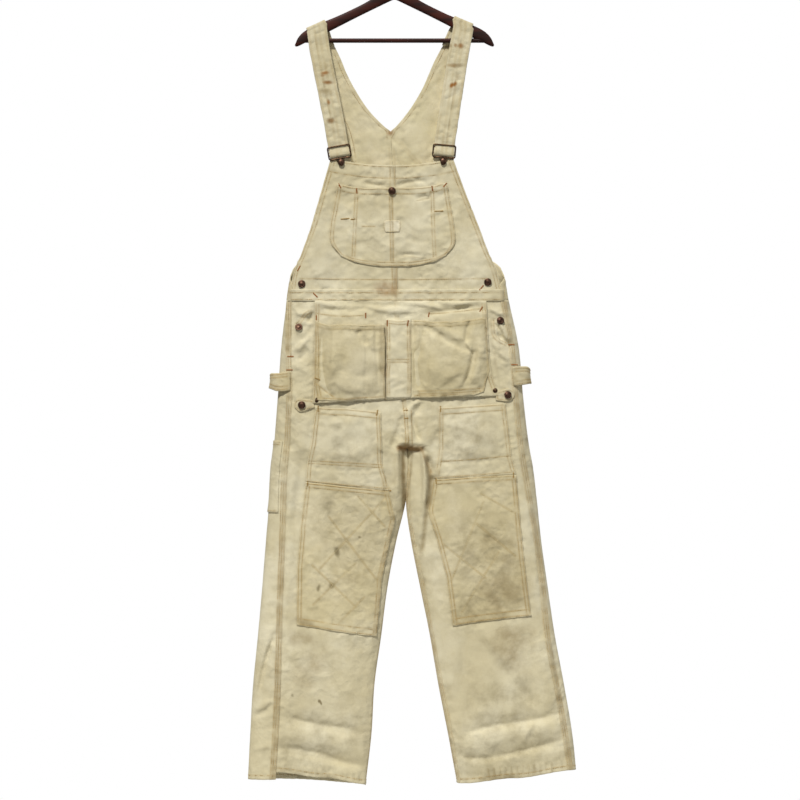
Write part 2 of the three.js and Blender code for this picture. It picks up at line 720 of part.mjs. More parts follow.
// The hanger's wooden body: its upper edge and its lower edge, from the neck to one tip.
const HANGER_UPPER = [
  [0, -73],
  [14, -76],
  [32, -95],
  [57, -114.5],
  [106, -139],
  [147, -156.5],
  [172, -167.5],
  [190, -177.5],
  [202, -190],
  [209, -205],
];
const HANGER_LOWER = [
  [206.5, -208.5],
  [199, -206],
  [183, -198],
  [160, -188],
  [131, -173.5],
  [95, -155],
  [57, -136],
  [7, -112],
  [0, -109],
];
function hangerOutline() {
  const smooth = (points, steps) => {
    const curve = new THREE.SplineCurve(points.map((p) => new THREE.Vector2(...p)));
    return curve.getPoints(steps);
  };
  const half = [...smooth(HANGER_UPPER, 15), ...smooth(HANGER_LOWER, 12)];
  const mirrored = half.slice(1, -1).reverse().map((p) => new THREE.Vector2(-p.x, p.y));
  return new THREE.Shape([...half, ...mirrored]);
}
const halfWood = HANGER_THICKNESS / 2;
const WOOD_EDGE = 2;

// The height of the hanger's upper edge at x.
function armTop(x) {
  const reach = Math.abs(x);
  const points = new THREE.SplineCurve(HANGER_UPPER.map((p) => new THREE.Vector2(...p))).getPoints(60);
  const i = points.findIndex((p) => p.x >= reach);
  const t = (reach - points[i - 1].x) / (points[i].x - points[i - 1].x);
  return points[i - 1].y + (points[i].y - points[i - 1].y) * t;
}
const wood = new THREE.ExtrudeGeometry(hangerOutline(), {
  depth: HANGER_THICKNESS - 2 * WOOD_EDGE,
  bevelThickness: WOOD_EDGE,
  bevelSize: WOOD_EDGE,
  bevelOffset: -WOOD_EDGE,
  bevelSegments: 2,
});
wood.translate(0, 0, WOOD_EDGE - halfWood).rotateX(Math.PI / 2);
const BAR_END = 190;
const barHoleRadius = BAR_RADIUS + LAY_GAP;
const barHole = new THREE.CylinderGeometry(barHoleRadius, barHoleRadius, 2 * (BAR_END + LAY_GAP), 12);
barHole.rotateZ(Math.PI / 2).translate(0, 0, BAR_Z);
const STEM_DEPTH = 14; // how far the hook's stem goes into the neck
const hookHoleRadius = HOOK_WIRE_RADIUS + LAY_GAP;
const hookHole = new THREE.CylinderGeometry(hookHoleRadius, hookHoleRadius, 2 * (STEM_DEPTH + 1), 8);
hookHole.rotateX(Math.PI / 2).translate(0, 0, NECK_TOP_Z);
const drilled = toSolid(wood).subtract(toSolid(barHole)).subtract(toSolid(hookHole));
add("hanger_wood", toGeometry(drilled), darkWood);
const bar = new THREE.CylinderGeometry(BAR_RADIUS, BAR_RADIUS, 2 * BAR_END, 12);
add("hanger_bar", bar.rotateZ(Math.PI / 2).translate(0, 0, BAR_Z), darkWood);

// The hook: a stem out of the neck, bent into a ring that is open at the left.
function hookCurve() {
  const radius = HOOK_INNER_RADIUS + HOOK_WIRE_RADIUS;
  const stemFoot = new THREE.Vector3(0, 0, NECK_TOP_Z - STEM_DEPTH);
  const points = [stemFoot, new THREE.Vector3(0, 0, -60), new THREE.Vector3(2.5, 0, -49)];
  const turns = 12;
  for (let i = 0; i <= turns; i++) {
    const a = THREE.MathUtils.degToRad(-62 + (267 * i) / turns);
    points.push(new THREE.Vector3(radius * Math.cos(a), 0, radius * Math.sin(a) - HOOK_INNER_RADIUS));
  }
  return new THREE.CatmullRomCurve3(points);
}
const wireSection = new THREE.Shape().absarc(0, 0, HOOK_WIRE_RADIUS, 0, 2 * Math.PI);
const hookSettings = { extrudePath: hookCurve(), steps: 34, curveSegments: 4 };
add("hanger_hook", new THREE.ExtrudeGeometry(wireSection, hookSettings), hookSteel);

// A strap: a flat band along a path. tilt is the slope in degrees of the line across it, which is
// slanted where the strap folds over the hanger's sloping arm.
function band(path, width, thickness) {
  const positions = [];
  path.forEach((p, i) => {
    const before = path[Math.max(i - 1, 0)];
    const after = path[Math.min(i + 1, path.length - 1)];
    const along = new THREE.Vector3(after.x - before.x, after.y - before.y, after.z - before.z).normalize();
    const tilt = THREE.MathUtils.degToRad(p.tilt);
    const across = new THREE.Vector3(Math.cos(tilt), 0, Math.sin(tilt));
    const slant = across.dot(along);
    across.divideScalar(Math.sqrt(1 - slant * slant));
    const out = new THREE.Vector3().crossVectors(across, along).normalize();
    for (const [u, v] of [[-1, 1], [0, 1], [1, 1], [1, -1], [0, -1], [-1, -1]]) {
      const q = new THREE.Vector3(p.x, p.y, p.z);
      q.addScaledVector(across, (u * width) / 2).addScaledVector(out, (v * thickness) / 2);
      positions.push(q.x, q.y, q.z);
    }
  });
  const index = [];
  const ring = 6;
  for (let i = 0; i < path.length - 1; i++) {
    for (let j = 0; j < ring; j++) {
      const k = (j + 1) % ring;
      const a = i * ring;
      const b = a + ring;
      index.push(a + j, a + k, b + k, a + j, b + k, b + j);
    }
  }
  const end = (path.length - 1) * ring;
  index.push(0, 4, 1, 0, 5, 4, 1, 4, 3, 1, 3, 2);
  const endCap = [0, 1, 4, 0, 4, 5, 1, 3, 4, 1, 2, 3];
  index.push(...endCap.map((corner) => end + corner));
  const geometry = new THREE.BufferGeometry();
  geometry.setAttribute("position", new THREE.Float32BufferAttribute(positions, 3));
  geometry.setIndex(index);
  return geometry;
}

// A closed loop of wire through points that lie in one plane.
function wireLoop(points, planeNormal, radius, sides = 6) {
  const positions = [];
  const index = [];
  const count = points.length;
  points.forEach((p, i) => {
    const before = points[(i + count - 1) % count];
    const after = points[(i + 1) % count];
    const along = new THREE.Vector3().subVectors(after, before).normalize();
    const outward = new THREE.Vector3().crossVectors(along, planeNormal).normalize();
    for (let k = 0; k < sides; k++) {
      const a = (2 * Math.PI * k) / sides;
      const q = p.clone();
      q.addScaledVector(outward, radius * Math.cos(a)).addScaledVector(planeNormal, radius * Math.sin(a));
      positions.push(q.x, q.y, q.z);
      const here = i * sides + k;
      const beside = i * sides + ((k + 1) % sides);
      const next = ((i + 1) % count) * sides + k;
      const nextBeside = ((i + 1) % count) * sides + ((k + 1) % sides);
      index.push(here, next, nextBeside, here, nextBeside, beside);
    }
  });
  const geometry = new THREE.BufferGeometry();
  geometry.setAttribute("position", new THREE.Float32BufferAttribute(positions, 3));
  geometry.setIndex(index);
  return geometry;
}

// The buckle's frame, in its own upright u, w: a wire loop, a cross bar and a ring for the stud.
const BUCKLE = {
  halfWidth: 23.3,
  top: 12.5,
  bottom: -13.5,
  bar: -5.5,
  wire: 1.5,
  topY: -18.5,
  bottomY: -15.3,
};
const BAR_WIRE = 1.4;
const STUD_RING = { below: 20, halfWidth: 5.8, halfHeight: 6.6, wire: 1.2 };
const BUCKLES = {
  left: { x: -115.5, z: -432, tilt: 10 },
  right: { x: 104, z: -430, tilt: -5 },
};
function localToBody(place, u, w, y) {
  const tilt = THREE.MathUtils.degToRad(place.tilt);
  const x = place.x + u * Math.cos(tilt) - w * Math.sin(tilt);
  const z = place.z + u * Math.sin(tilt) + w * Math.cos(tilt);
  return new THREE.Vector3(x, y, z);
}
function buckleDepth(w) {
  const { top, bottom, topY, bottomY } = BUCKLE;
  return bottomY + ((topY - bottomY) * (w - bottom)) / (top - bottom);
}
function buckle(place) {
  const { halfWidth, top, bottom, bar, wire } = BUCKLE;
  const cornerRadius = 4;
  const corners = [
    [halfWidth, top, 0],
    [-halfWidth, top, 90],
    [-halfWidth, bottom, 180],
    [halfWidth, bottom, 270],
  ];
  const frame = [];
  for (const [u, w, start] of corners) {
    for (const turn of [0, 45, 90]) {
      const a = THREE.MathUtils.degToRad(start + turn);
      const cu = u - Math.sign(u) * cornerRadius + cornerRadius * Math.cos(a);
      const cw = w - Math.sign(w) * cornerRadius + cornerRadius * Math.sin(a);
      frame.push(localToBody(place, cu, cw, buckleDepth(cw)));
    }
  }
  const across = new THREE.Vector3().subVectors(frame[0], frame[3]);
  const upward = new THREE.Vector3().subVectors(frame[0], frame[11]);
  const plane = across.cross(upward).normalize();
  const ring = [];
  for (let i = 0; i < 12; i++) {
    const a = (i / 12) * 2 * Math.PI;
    const u = STUD_RING.halfWidth * Math.cos(a);
    const w = STUD_RING.halfHeight * Math.sin(a) - STUD_RING.below;
    ring.push(localToBody(place, u, w, BUCKLE.bottomY));
  }
  const frameSolid = toSolid(wireLoop(frame, plane, wire));
  const ringSolid = toSolid(wireLoop(ring, new THREE.Vector3(0, -1, 0), STUD_RING.wire));
  const crossBar = new THREE.CylinderGeometry(BAR_WIRE, BAR_WIRE, 2 * halfWidth, 8).rotateZ(Math.PI / 2);
  crossBar.rotateY(-THREE.MathUtils.degToRad(place.tilt));
  const barMiddle = localToBody(place, 0, bar, buckleDepth(bar));
  crossBar.translate(barMiddle.x, barMiddle.y, barMiddle.z);
  return frameSolid.add(ringSolid).add(toSolid(crossBar));
}

// Each strap leaves the back's top, goes over the hanger's arm, and down to its buckle's cross bar.
const STRAPS = {
  left: {
    armX: -165,
    startX: -149,
    front: [
      { x: -164, z: -176 },
      { x: -158, z: -210 },
      { x: -151, z: -245 },
      { x: -142, z: -290 },
      { x: -133, z: -335 },
      { x: -125, z: -375 },
    ],
  },
  right: {
    armX: 145,
    startX: 122.5,
    front: [
      { x: 144, z: -172 },
      { x: 137, z: -210 },
      { x: 131, z: -245 },
      { x: 124, z: -290 },
      { x: 117, z: -335 },
      { x: 111, z: -375 },
    ],
  },
};
const OVER_ARM_TURNS = [0, 12, 30, 45, 60, 78, 90, 102, 120, 135, 150, 168, 180];
function strapPath(strap, place) {
  const reach = halfWood + 1.6 * LAY_GAP + FOLDED_CLOTH / 2;
  const slope = Math.atan2(armTop(strap.armX + 15) - armTop(strap.armX - 15), 30);
  const slopeDegrees = THREE.MathUtils.radToDeg(slope);
  const up = [-Math.sin(slope), Math.cos(slope)];
  const centreX = strap.armX - up[0] * halfWood;
  const centreZ = armTop(strap.armX) - up[1] * halfWood;
  const path = [{ x: strap.startX, y: reach, z: YOKE_TOP_Z + SEAM_GAP, tilt: 0 }];
  const lowX = centreX - up[0] * 12;
  const lowZ = centreZ - up[1] * 12;
  path.push({ x: (strap.startX + lowX) / 2, y: reach, z: (YOKE_TOP_Z + lowZ) / 2, tilt: slopeDegrees / 2 });
  path.push({ x: lowX, y: reach, z: lowZ, tilt: slopeDegrees * 0.9 });
  for (const degrees of OVER_ARM_TURNS) {
    const a = THREE.MathUtils.degToRad(degrees);
    const across = Math.cos(a);
    const rise = reach * Math.sqrt(Math.abs(Math.sin(a)));
    const y = reach * Math.sign(across) * Math.sqrt(Math.abs(across));
    path.push({ x: centreX + up[0] * rise, y, z: centreZ + up[1] * rise, tilt: slopeDegrees });
  }
  const frontEnd = strap.front.length;
  strap.front.forEach((p, i) => {
    const share = (i + 1) / frontEnd;
    const y = -reach - (15 - reach) * ease(0, 1.2, share);
    path.push({ x: p.x, y, z: p.z, tilt: slopeDegrees + (place.tilt - slopeDegrees) * Math.sqrt(share) });
  });
  const barW = BUCKLE.bar;
  const barY = buckleDepth(barW);
  const turn = BAR_WIRE + LAY_GAP + FOLDED_CLOTH / 2;
  const local = [[24, -14.9], [13, -15.4], [4.5, -17.2], [-1.5, barY - turn + 0.25]];
  for (let i = 0; i <= 6; i++) {
    const a = (Math.PI * i) / 6;
    local.push([barW - turn * Math.sin(a), barY - turn * Math.cos(a)]);
  }
  local.push([1, -12.7], [12, -12], [26, -11.6], [38, -11.3]);
  local.forEach(([w, y]) => {
    const q = localToBody(place, 0, w, y);
    path.push({ x: q.x, y: q.y, z: q.z, tilt: place.tilt });
  });
  return path;
}
for (const name of ["left", "right"]) {
  const place = BUCKLES[name];
  add("strap_" + name, band(strapPath(STRAPS[name], place), STRAP_WIDTH, FOLDED_CLOTH), duck);
  add("buckle_" + name, toGeometry(buckle(place)), wireSteel);
  const stud = localToBody(place, 0, -STUD_RING.below, 0);
  const studBase = frontSurface(stud.x, stud.z) - LAY_GAP;
  turned("bib_stud_" + name, BIB_STUD, stud.x, stud.z, studBase, 0, brownedBrass);
}

// Hammer loops: bands that stand off each hip, from the outseam round to the back.
const LOOP_HEIGHT = 38;
const LOOP_STAND_OFF = 18;
const HAMMER_LOOPS = { left: { side: left, z: -931 }, right: { side: right, z: -919 } };
function hammerLoop({ side, z }) {
  const surface = (height, share) => {
    const fold = column(BODY, side.fold, height);
    const front = (x) => skinY(side, FACES.front, x, height) - LAY_GAP;
    const back = (x) => skinY(side, FACES.back, x, height) + LAY_GAP;
    const frontX = column(BODY, side.seam, height) - side.sign * 2;
    const backX = fold - side.sign * 62;
    const plan = [
      [frontX, front(frontX)],
      [fold - side.sign * 8, front(frontX) + 1],
      [fold + side.sign * LOOP_STAND_OFF * 0.6, -13],
      [fold + side.sign * LOOP_STAND_OFF, 1],
      [fold + side.sign * LOOP_STAND_OFF * 0.55, 15],
      [fold - side.sign * 12, back(backX) - 3],
      [fold - side.sign * 38, back(fold - side.sign * 38) + 0.6],
      [backX, back(backX)],
    ];
    const curve = new THREE.SplineCurve(plan.map((p) => new THREE.Vector2(...p)));
    const p = curve.getPoint(Math.min(Math.max(share, 0), 1));
    return new THREE.Vector3(p.x, p.y, height);
  };
  const columns = Array.from({ length: 19 }, (_, i) => i / 18);
  const sheet = grid([z + LOOP_HEIGHT, z + LOOP_HEIGHT / 2, z], columns, surface, -side.sign);
  return wall(sheet, 0, FOLDED_CLOTH);
}
add("hammer_loop_left", hammerLoop(HAMMER_LOOPS.left), duck);
add("hammer_loop_right", hammerLoop(HAMMER_LOOPS.right), duck);

export default overalls;
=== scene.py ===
# %% [markdown]
# A pair of worn bib overalls in cream cotton duck hangs by its straps from a dark wooden hanger.
# The imported model already holds every piece at its real size, as plain solids. This lesson keeps
# their places and gives each one its cloth, its creases, its stitches and its dirt. The first cell
# loads that model as a frame.

# %% Load the frame
import math
import bpy
import numpy as np
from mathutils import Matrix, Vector
from mathutils.bvhtree import BVHTree
from mathutils.kdtree import KDTree


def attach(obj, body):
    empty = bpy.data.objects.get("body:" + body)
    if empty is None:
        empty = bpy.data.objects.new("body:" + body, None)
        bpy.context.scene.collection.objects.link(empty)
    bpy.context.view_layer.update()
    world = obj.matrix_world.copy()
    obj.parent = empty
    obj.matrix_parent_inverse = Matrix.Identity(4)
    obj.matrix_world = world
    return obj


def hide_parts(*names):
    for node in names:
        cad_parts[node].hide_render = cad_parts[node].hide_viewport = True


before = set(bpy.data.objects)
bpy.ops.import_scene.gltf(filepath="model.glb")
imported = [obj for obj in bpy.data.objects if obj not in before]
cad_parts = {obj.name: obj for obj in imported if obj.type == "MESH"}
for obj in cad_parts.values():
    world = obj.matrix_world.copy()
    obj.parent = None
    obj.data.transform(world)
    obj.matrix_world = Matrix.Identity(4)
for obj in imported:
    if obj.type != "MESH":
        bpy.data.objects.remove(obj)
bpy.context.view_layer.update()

MM = 0.001  # the sizes below are in millimetres, and Blender's are in metres
print("nodes in the frame:", len(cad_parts))

# %% [markdown]
# The camera comes first. The photograph looks straight at the garment, and one of its pixels is
# 2.1 mm of cloth, so a lens of 85 mm is put back until its frame is 1.68 m wide at the garment.
# A long lens keeps the straps and the hems in scale with each other.

# %% Camera
PHOTO_WIDTH = 1.68
VIEW_CENTRE = (0.01155, -0.9507)
LENS = 85
SENSOR = 36
camera_data = bpy.data.cameras.new("camera")
camera_data.lens = LENS
camera_data.sensor_width = SENSOR
camera = bpy.data.objects.new("camera", camera_data)
bpy.context.scene.collection.objects.link(camera)
camera.location = (VIEW_CENTRE[0], -PHOTO_WIDTH * LENS / SENSOR, VIEW_CENTRE[1])
camera.rotation_euler = (math.pi / 2, 0, 0)
bpy.context.scene.camera = camera
print("camera stands", round(-camera.location.y, 3), "m in front of the hanger")

# %% [markdown]
# Studio light for pale cloth: a nearly white surround fills every shadow, a broad lamp high on the
# left draws the creases, and a weak one on the right keeps their far sides open. A lamp behind the
# garment does the same for its back. The surround is brighter to the camera than to the cloth, so the
# backdrop stays white while the cloth keeps its tone.

# %% Light
FILL = 0.23  # how strongly the surround lights the cloth
BACKDROP = 1.0  # how bright the surround looks behind it


def add(tree, kind, links=None, **settings):
    """One new node: settings are its properties, links give each input a value or a node's output."""
    node = tree.nodes.new(kind)
    for key, value in settings.items():
        setattr(node, key, value)
    for key, value in (links or {}).items():
        if isinstance(value, bpy.types.NodeSocket):
            tree.links.new(value, node.inputs[key])
        else:
            node.inputs[key].default_value = value
    return node


def linear(code):
    """An sRGB hex colour as the linear values that a shader works with."""
    parts = [int(code[i : i + 2], 16) / 255 for i in (1, 3, 5)]
    return [p / 12.92 if p <= 0.04045 else ((p + 0.055) / 1.055) ** 2.4 for p in parts] + [1.0]


def far_lamp(name, direction, softness, strength, colour):
    """A lamp so far away that it lights the whole garment evenly, with shadows softened by degrees."""
    lamp = bpy.data.lights.new(name, "SUN")
    lamp.angle = math.radians(softness)
    lamp.energy = strength
    lamp.color = linear(colour)[:3]
    lamp_object = bpy.data.objects.new(name, lamp)
    bpy.context.scene.collection.objects.link(lamp_object)
    lamp_object.rotation_euler = (-Vector(direction)).to_track_quat("-Z", "Y").to_euler()


world = bpy.data.worlds.new("studio")
bpy.context.scene.world = world
world.use_nodes = True
sky = world.node_tree
sky.nodes.clear()
surround = add(sky, "ShaderNodeBackground", {"Color": linear("#FBFAF6"), "Strength": FILL}).outputs[0]
backdrop = add(sky, "ShaderNodeBackground", {"Color": (1, 1, 1, 1), "Strength": BACKDROP}).outputs[0]
seen = add(sky, "ShaderNodeLightPath").outputs["Is Camera Ray"]
mixed = add(sky, "ShaderNodeMixShader", {0: seen, 1: surround, 2: backdrop})
add(sky, "ShaderNodeOutputWorld", {"Surface": mixed.outputs[0]})
far_lamp("key", (-0.22, -0.64, 0.8), 7, 3.0, "#FFFDF8")
far_lamp("fill", (0.9, -0.9, 0.1), 40, 0.35, "#F8FBFF")
far_lamp("back_key", (0.4, 0.8, 0.55), 10, 2.1, "#FFFCF5")
bpy.context.scene.view_settings.view_transform = "Standard"
print("three lamps and a surround of strength", FILL)

# %% [markdown]
# Every piece below becomes an object in the same way. Its points are in millimetres, and its faces
# all have the same number of corners. Each piece then rides on the one body of the model. Where it
# stands for a plain solid, it replaces that solid.

# %% A new object
made = {}


def new_object(name, points, faces, material, sharp=None):
    """A mesh object from points in millimetres, smooth but for edges sharper than so many degrees."""
    mesh = bpy.data.meshes.new(name)
    faces = np.asarray(faces, np.int32)
    mesh.vertices.add(len(points))
    mesh.vertices.foreach_set("co", (np.asarray(points, np.float32) * MM).ravel())
    mesh.loops.add(faces.size)
    mesh.loops.foreach_set("vertex_index", faces.ravel())
    mesh.polygons.add(len(faces))
    mesh.polygons.foreach_set("loop_start", np.arange(0, faces.size, faces.shape[1], dtype=np.int32))
    mesh.update(calc_edges=True)
    mesh.validate()
    mesh.shade_smooth()
    if sharp:
        mesh.set_sharp_from_angle(angle=math.radians(sharp))
    thing = bpy.data.objects.new(name, mesh)
    bpy.context.scene.collection.objects.link(thing)
    mesh.materials.append(material)
    return thing


def settle(piece, node=None):
    """Ties a piece to the body, in place of a node of the model if one is named."""
    made[piece.name] = piece
    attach(piece, "root")
    if node:
        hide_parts(node)


# %% [markdown]
# The hanging body is worked out from the same tables as the solids: how wide and how deep it is at
# each height, and where its seams run. A curve runs smoothly through each column of a table.

# %% Sizes of the garment
CLOTH = 1.2  # one layer of heavy duck, with the thickness of its creases
DOUBLE = 2.4
SEAM_GAP = 0.4  # left between two panels that meet, so that they never share a face
WAIST_Z = -741
CROTCH_Z = -1050
FORK_Z = -1005  # from here down to the crotch the front begins to part into two legs
BACK_FORK_Z = -975
SIDE_CORNER_Z = -690  # where the back wraps round to the front, above the side opening
HEM_Z = -1745
SIDE_ROLL = 60  # how far in from the side folds the body rounds off


def numbers(text):
    """Rows of numbers from lines of text. A comma parts two rows that share a line."""
    return [[float(n) for n in row.split()] for row in text.replace("\n", ",").split(",") if row.strip()]


def table(columns, text):
    """Rows under named columns, as one array for each name."""
    return dict(zip(columns.split(), np.array(numbers(text)).T))


BODY = table("z left seamLeft centreLeft centreRight inseamRight seamRight right front back", """
-200 -235 -235 -8 -8 0 210 210 11 8.4
-386 -205 -205 -8 -8 0 195 195 12.5 10
-445 -196 -196 -5 -5 0 187 187 13 11
-540 -205 -205 -3 -3 0 203 203 14.5 13
-640 -215 -215 -1 -1 0 220 220 17 16
-690 -219 -217 0 0 0 224 231 18 18
-741 -226 -221 1 1 0 228 240 19 19
-841 -238 -222 9 9 0 245 261 24 25
-942 -245 -220 17 17 0 253 270 27 29
-1043 -253 -224 26 26 0 263 282 28 31
-1093 -259 -229 29 29.2 8 271 291 27 30
-1161 -263 -232 23 23.6 12 283 299 26 29
-1245 -270 -234 3 35 9 297 308 25 27
-1345 -278 -238 -16 54 12 310 322 25 26
-1446 -287 -241 -29 75 9 320 337 24 25
-1547 -297 -244 -43 92 10 339 356 22 23
-1648 -303 -249 -49 112 9 357 373 20 21
-1745 -308 -255 -60 131 5 371 383 19 20
""")
BIB = table("z left right", """
-445 -133 122
-489 -146 138
-539 -160 157
-590 -175 177
-640 -193 196
-669 -206 209
-690 -213 216
-741 -221 228
""")
YOKE = table("z armLeft neckLeft neckRight armRight", """
-205 -171 -127 102 143
-237 -161 -112 85 134
-264 -152 -101 73 127
-300 -140 -82 57 121
-342 -125 -54 31 115
-375 -108 -22 4 107
-386 -104 -8 -8 104
-413 -97 -6 -6 98
-455 -92 -5 -5 92
-500 -97 -4 -4 97
-552 -113 -3 -3 115
-615 -148 -1 -1 152
-648 -180 -1 -1 190
-668 -208 0 0 219
-690 -219 0 0 231
""")
APRON = table("z left right", """
-742 -166 191
-850 -168 197
-900 -169 204
-945 -170 219
""")


def column(source, key, z):
    """One column at height z, on a smooth curve through its rows."""
    heights, values = source["z"], source[key]
    last = len(heights) - 1
    z = np.clip(z, heights[last], heights[0])
    i = np.clip(np.searchsorted(-heights, -z, side="right") - 1, 0, last - 1)
    above = np.maximum(np.arange(last + 1) - 1, 0)
    below = np.minimum(np.arange(last + 1) + 1, last)
    slope = (values[below] - values[above]) / (heights[below] - heights[above])
    span = heights[i + 1] - heights[i]
    t = (z - heights[i]) / span
    ends = (2 * t**3 - 3 * t**2 + 1) * values[i] + (3 * t**2 - 2 * t**3) * values[i + 1]
    return ends + ((t**3 - 2 * t**2 + t) * slope[i] + (t**3 - t**2) * slope[i + 1]) * span


def ease(a, b, value):
    """0 before a, 1 after b, and smooth between."""
    t = np.clip((value - a) / (b - a), 0, 1)
    return t * t * (3 - 2 * t)


def unit(vectors):
    """The same directions at the length 1."""
    return vectors / np.maximum(np.linalg.norm(vectors, axis=-1, keepdims=True), 1e-9)


def quarter_round(distance, width):
    """0 at an edge, rising like a quarter of a circle to 1 at width from it."""
    t = np.clip(distance / width, 0, 1)
    return np.sqrt(1 - (1 - t) ** 2)


waist = column(BODY, "right", WAIST_Z) - column(BODY, "left", WAIST_Z)
print(f"waist {waist:.0f} mm wide, hems at {HEM_Z} mm")

# %% [markdown]
# Heavy cotton that has been folded, worn and hung keeps soft troughs and ridges. Each one is placed
# as a line from x1, z1 to x2, z2 with a width, a height and a bow. The folds of the solids
# come first, then the smaller creases that only show on the cloth. An uneven swell from a seeded grid
# of chance heights keeps the flat parts between them from looking pressed.

# %% Creases
FRONT_FOLDS = numbers("""
-188 -1060 -216 -1235 15 -5 0, -236 -1618 -60 -1650 15 -5.5 3, -240 -1682 -66 -1720 13 -5.5 -3
-236 -1650 -70 -1684 16 2.5 0, 150 -1643 342 -1610 15 -5.5 3, 160 -1706 352 -1672 13 -5.5 -3
134 -1690 168 -1708 8 -3.5 0, 150 -1672 350 -1634 16 2.5 0, 126 -1505 156 -1630 15 -3.5 0
18 -1085 -4 -1250 16 3 0, 62 -1080 58 -1300 18 3.5 0, -231 -1110 -247 -1570 8 -4.6 0
-214 -1060 -230 -1420 11 3.4 0, -257 -1240 -284 -1420 8 2.6 3, 288 -1120 312 -1420 8 -4.4 0
326 -1440 352 -1600 7 -3 0, -120 -560 -150 -700 22 2 0, 120 -560 165 -700 22 2 0
""")
FRONT_CREASES = numbers("""
-232 -1612 -90 -1640 5 -2.2 4, -236 -1678 -120 -1702 5 -2 -3, -150 -1700 -64 -1716 6 -1.8 3
150 -1648 250 -1628 5 -1.8 -3, 240 -1628 338 -1606 6 -2.2 4, 140 -1703 200 -1708 6 -2.2 -5
190 -1704 350 -1662 5 -2.4 3, 295 -1621 266 -1680 6 2.4 4, -291 -1570 -255 -1434 7 5.5 -4
-284 -1568 -248 -1436 5 -6.5 -4, -294 -1601 -256 -1575 7 4 4, -292 -1613 -254 -1585 6 -2.6 4
-298 -1684 -262 -1675 5 2.2 0, -150 -1395 -96 -1585 22 3.2 8, -100 -1450 -60 -1560 18 -3 -6
-220 -1470 -150 -1540 16 1.6 5, 180 -1430 262 -1560 20 3.6 -8, 225 -1500 300 -1590 16 -3.2 6
140 -1455 168 -1600 12 -3.4 6, 300 -1460 330 -1600 14 2.8 -4, 301 -1618 268 -1677 9 -2.6 0
-60 -985 -20 -1060 12 2.4 6, 14 -984 -7 -1052 9 -3.8 -3, 27 -972 28 -1042 10 4 0, 8 -1039 60 -1042 6 2.5 0
36 -986 52 -1038 5 -4.5 2, 50 -950 28 -974 4 3 0, 58 -955 36 -988 5 -3.5 0, 15 -950 20 -974 3 -2.5 0
4 -1046 5 -1160 7 3 0, 63 -1052 61 -1180 5 4.5 0, 57 -1048 77 -1104 6 -6.5 -2, 19 -1056 21 -1168 5 -5 0
67 -1072 77 -1122 8 -5.5 2, 77 -1110 69 -1176 8 -6 0, 68 -1168 60 -1262 8 -4 0, 96 -1010 78 -1060 9 -2 4
-8 -1090 -30 -1230 9 -2 4, -214 -975 -190 -1060 9 2 4, -232 -960 -226 -1060 7 -1.6 0
240 -975 262 -1080 9 2 -4, -205 -770 -172 -764 5 4 5, -203 -800 -172 -770 4.5 -4.8 8
-204 -812 -176 -790 6 5 -5, -196 -828 -172 -800 5 -4 4, -206 -850 -176 -812 6 4.2 3
-200 -868 -180 -842 5 -3.2 3, -212 -880 -178 -900 8 1.6 -3, 200 -760 236 -772 5 4 4
198 -778 222 -822 5 -4.6 -6, 204 -782 240 -832 6 5 -6, 206 -812 246 -848 5 -4.2 -5, 208 -830 240 -870 7 4 4
212 -862 248 -868 5 -1.6 3, -62 -497 -20 -502 3.5 -3 2, 8 -502 62 -493 3.5 -3 -3, -90 -470 -96 -500 9 1.4 2
-40 -466 -30 -490 8 -1.2 0, 64 -465 40 -495 9 1.6 3, 96 -470 88 -498 8 -1.2 0, -178 -640 -150 -715 9 1.8 4
-140 -650 -128 -716 8 -1.6 -3, -100 -680 -90 -720 7 1.5 2, -60 -686 -64 -720 7 -1.4 2
-36 -680 -32 -722 6 1.2 0, 28 -676 44 -720 9 -1.6 3, 64 -684 80 -722 8 1.6 3, 110 -670 132 -722 9 -1.4 -3
150 -640 182 -712 10 1.6 -4, 140 -560 170 -640 14 -1.8 6, -168 -590 -176 -660 12 1.4 -4
""")
BACK_FOLDS = numbers("""
-120 -800 -60 -1010 24 -4 0, 140 -800 90 -1010 24 -4 0, -40 -1070 -190 -1180 20 -4 0
90 -1070 240 -1180 20 -4 0, -250 -1300 -60 -1350 24 3 0, 100 -1330 290 -1300 24 3 0
-276 -1646 -76 -1622 15 -4.5 5, 150 -1640 345 -1630 15 -4.5 0, -275 -1700 -90 -1690 13 -4 0
150 -1700 350 -1690 13 -4 0, -90 -480 -150 -690 24 2.5 0, 85 -480 160 -690 24 2.5 0
""")
BACK_CREASES = numbers("""
-160 -1060 -60 -1110 9 2.4 5, -190 -1105 -70 -1150 8 -2.2 -6, -200 -1150 -110 -1175 7 2 4
110 -1055 230 -1100 9 2.2 -5, 100 -1100 235 -1150 8 -2.4 6, 150 -1150 260 -1190 7 1.8 -4
-230 -1330 -120 -1370 10 -2.2 6, -200 -1380 -90 -1400 12 2 -5, 130 -1340 270 -1310 10 -2.2 5
150 -1390 290 -1370 12 2 -6, -262 -1636 -150 -1624 9 -1.6 4, 190 -1632 335 -1626 5 -2.2 -4
-265 -1695 -110 -1688 5 -2 -3, 180 -1696 340 -1688 5 -1.8 3, -140 -1440 -110 -1600 18 2 6
230 -1430 262 -1600 18 2 -6, -60 -760 -110 -900 14 2 6, 70 -760 120 -900 14 2 -6, -40 -900 -110 -980 12 -2 4
60 -900 130 -980 12 -2 -4, -176 -640 -120 -720 9 1.8 4, 170 -640 120 -720 9 1.8 -4
-60 -640 -50 -730 9 -1.5 3, 50 -650 62 -730 9 1.5 -3, -70 -420 -40 -560 16 1.5 5, 66 -420 30 -560 14 -1.4 5
""")
STEEP, GENTLE = 0.6, 1.35  # a fold drops sharply on its lower side and eases off on its upper one
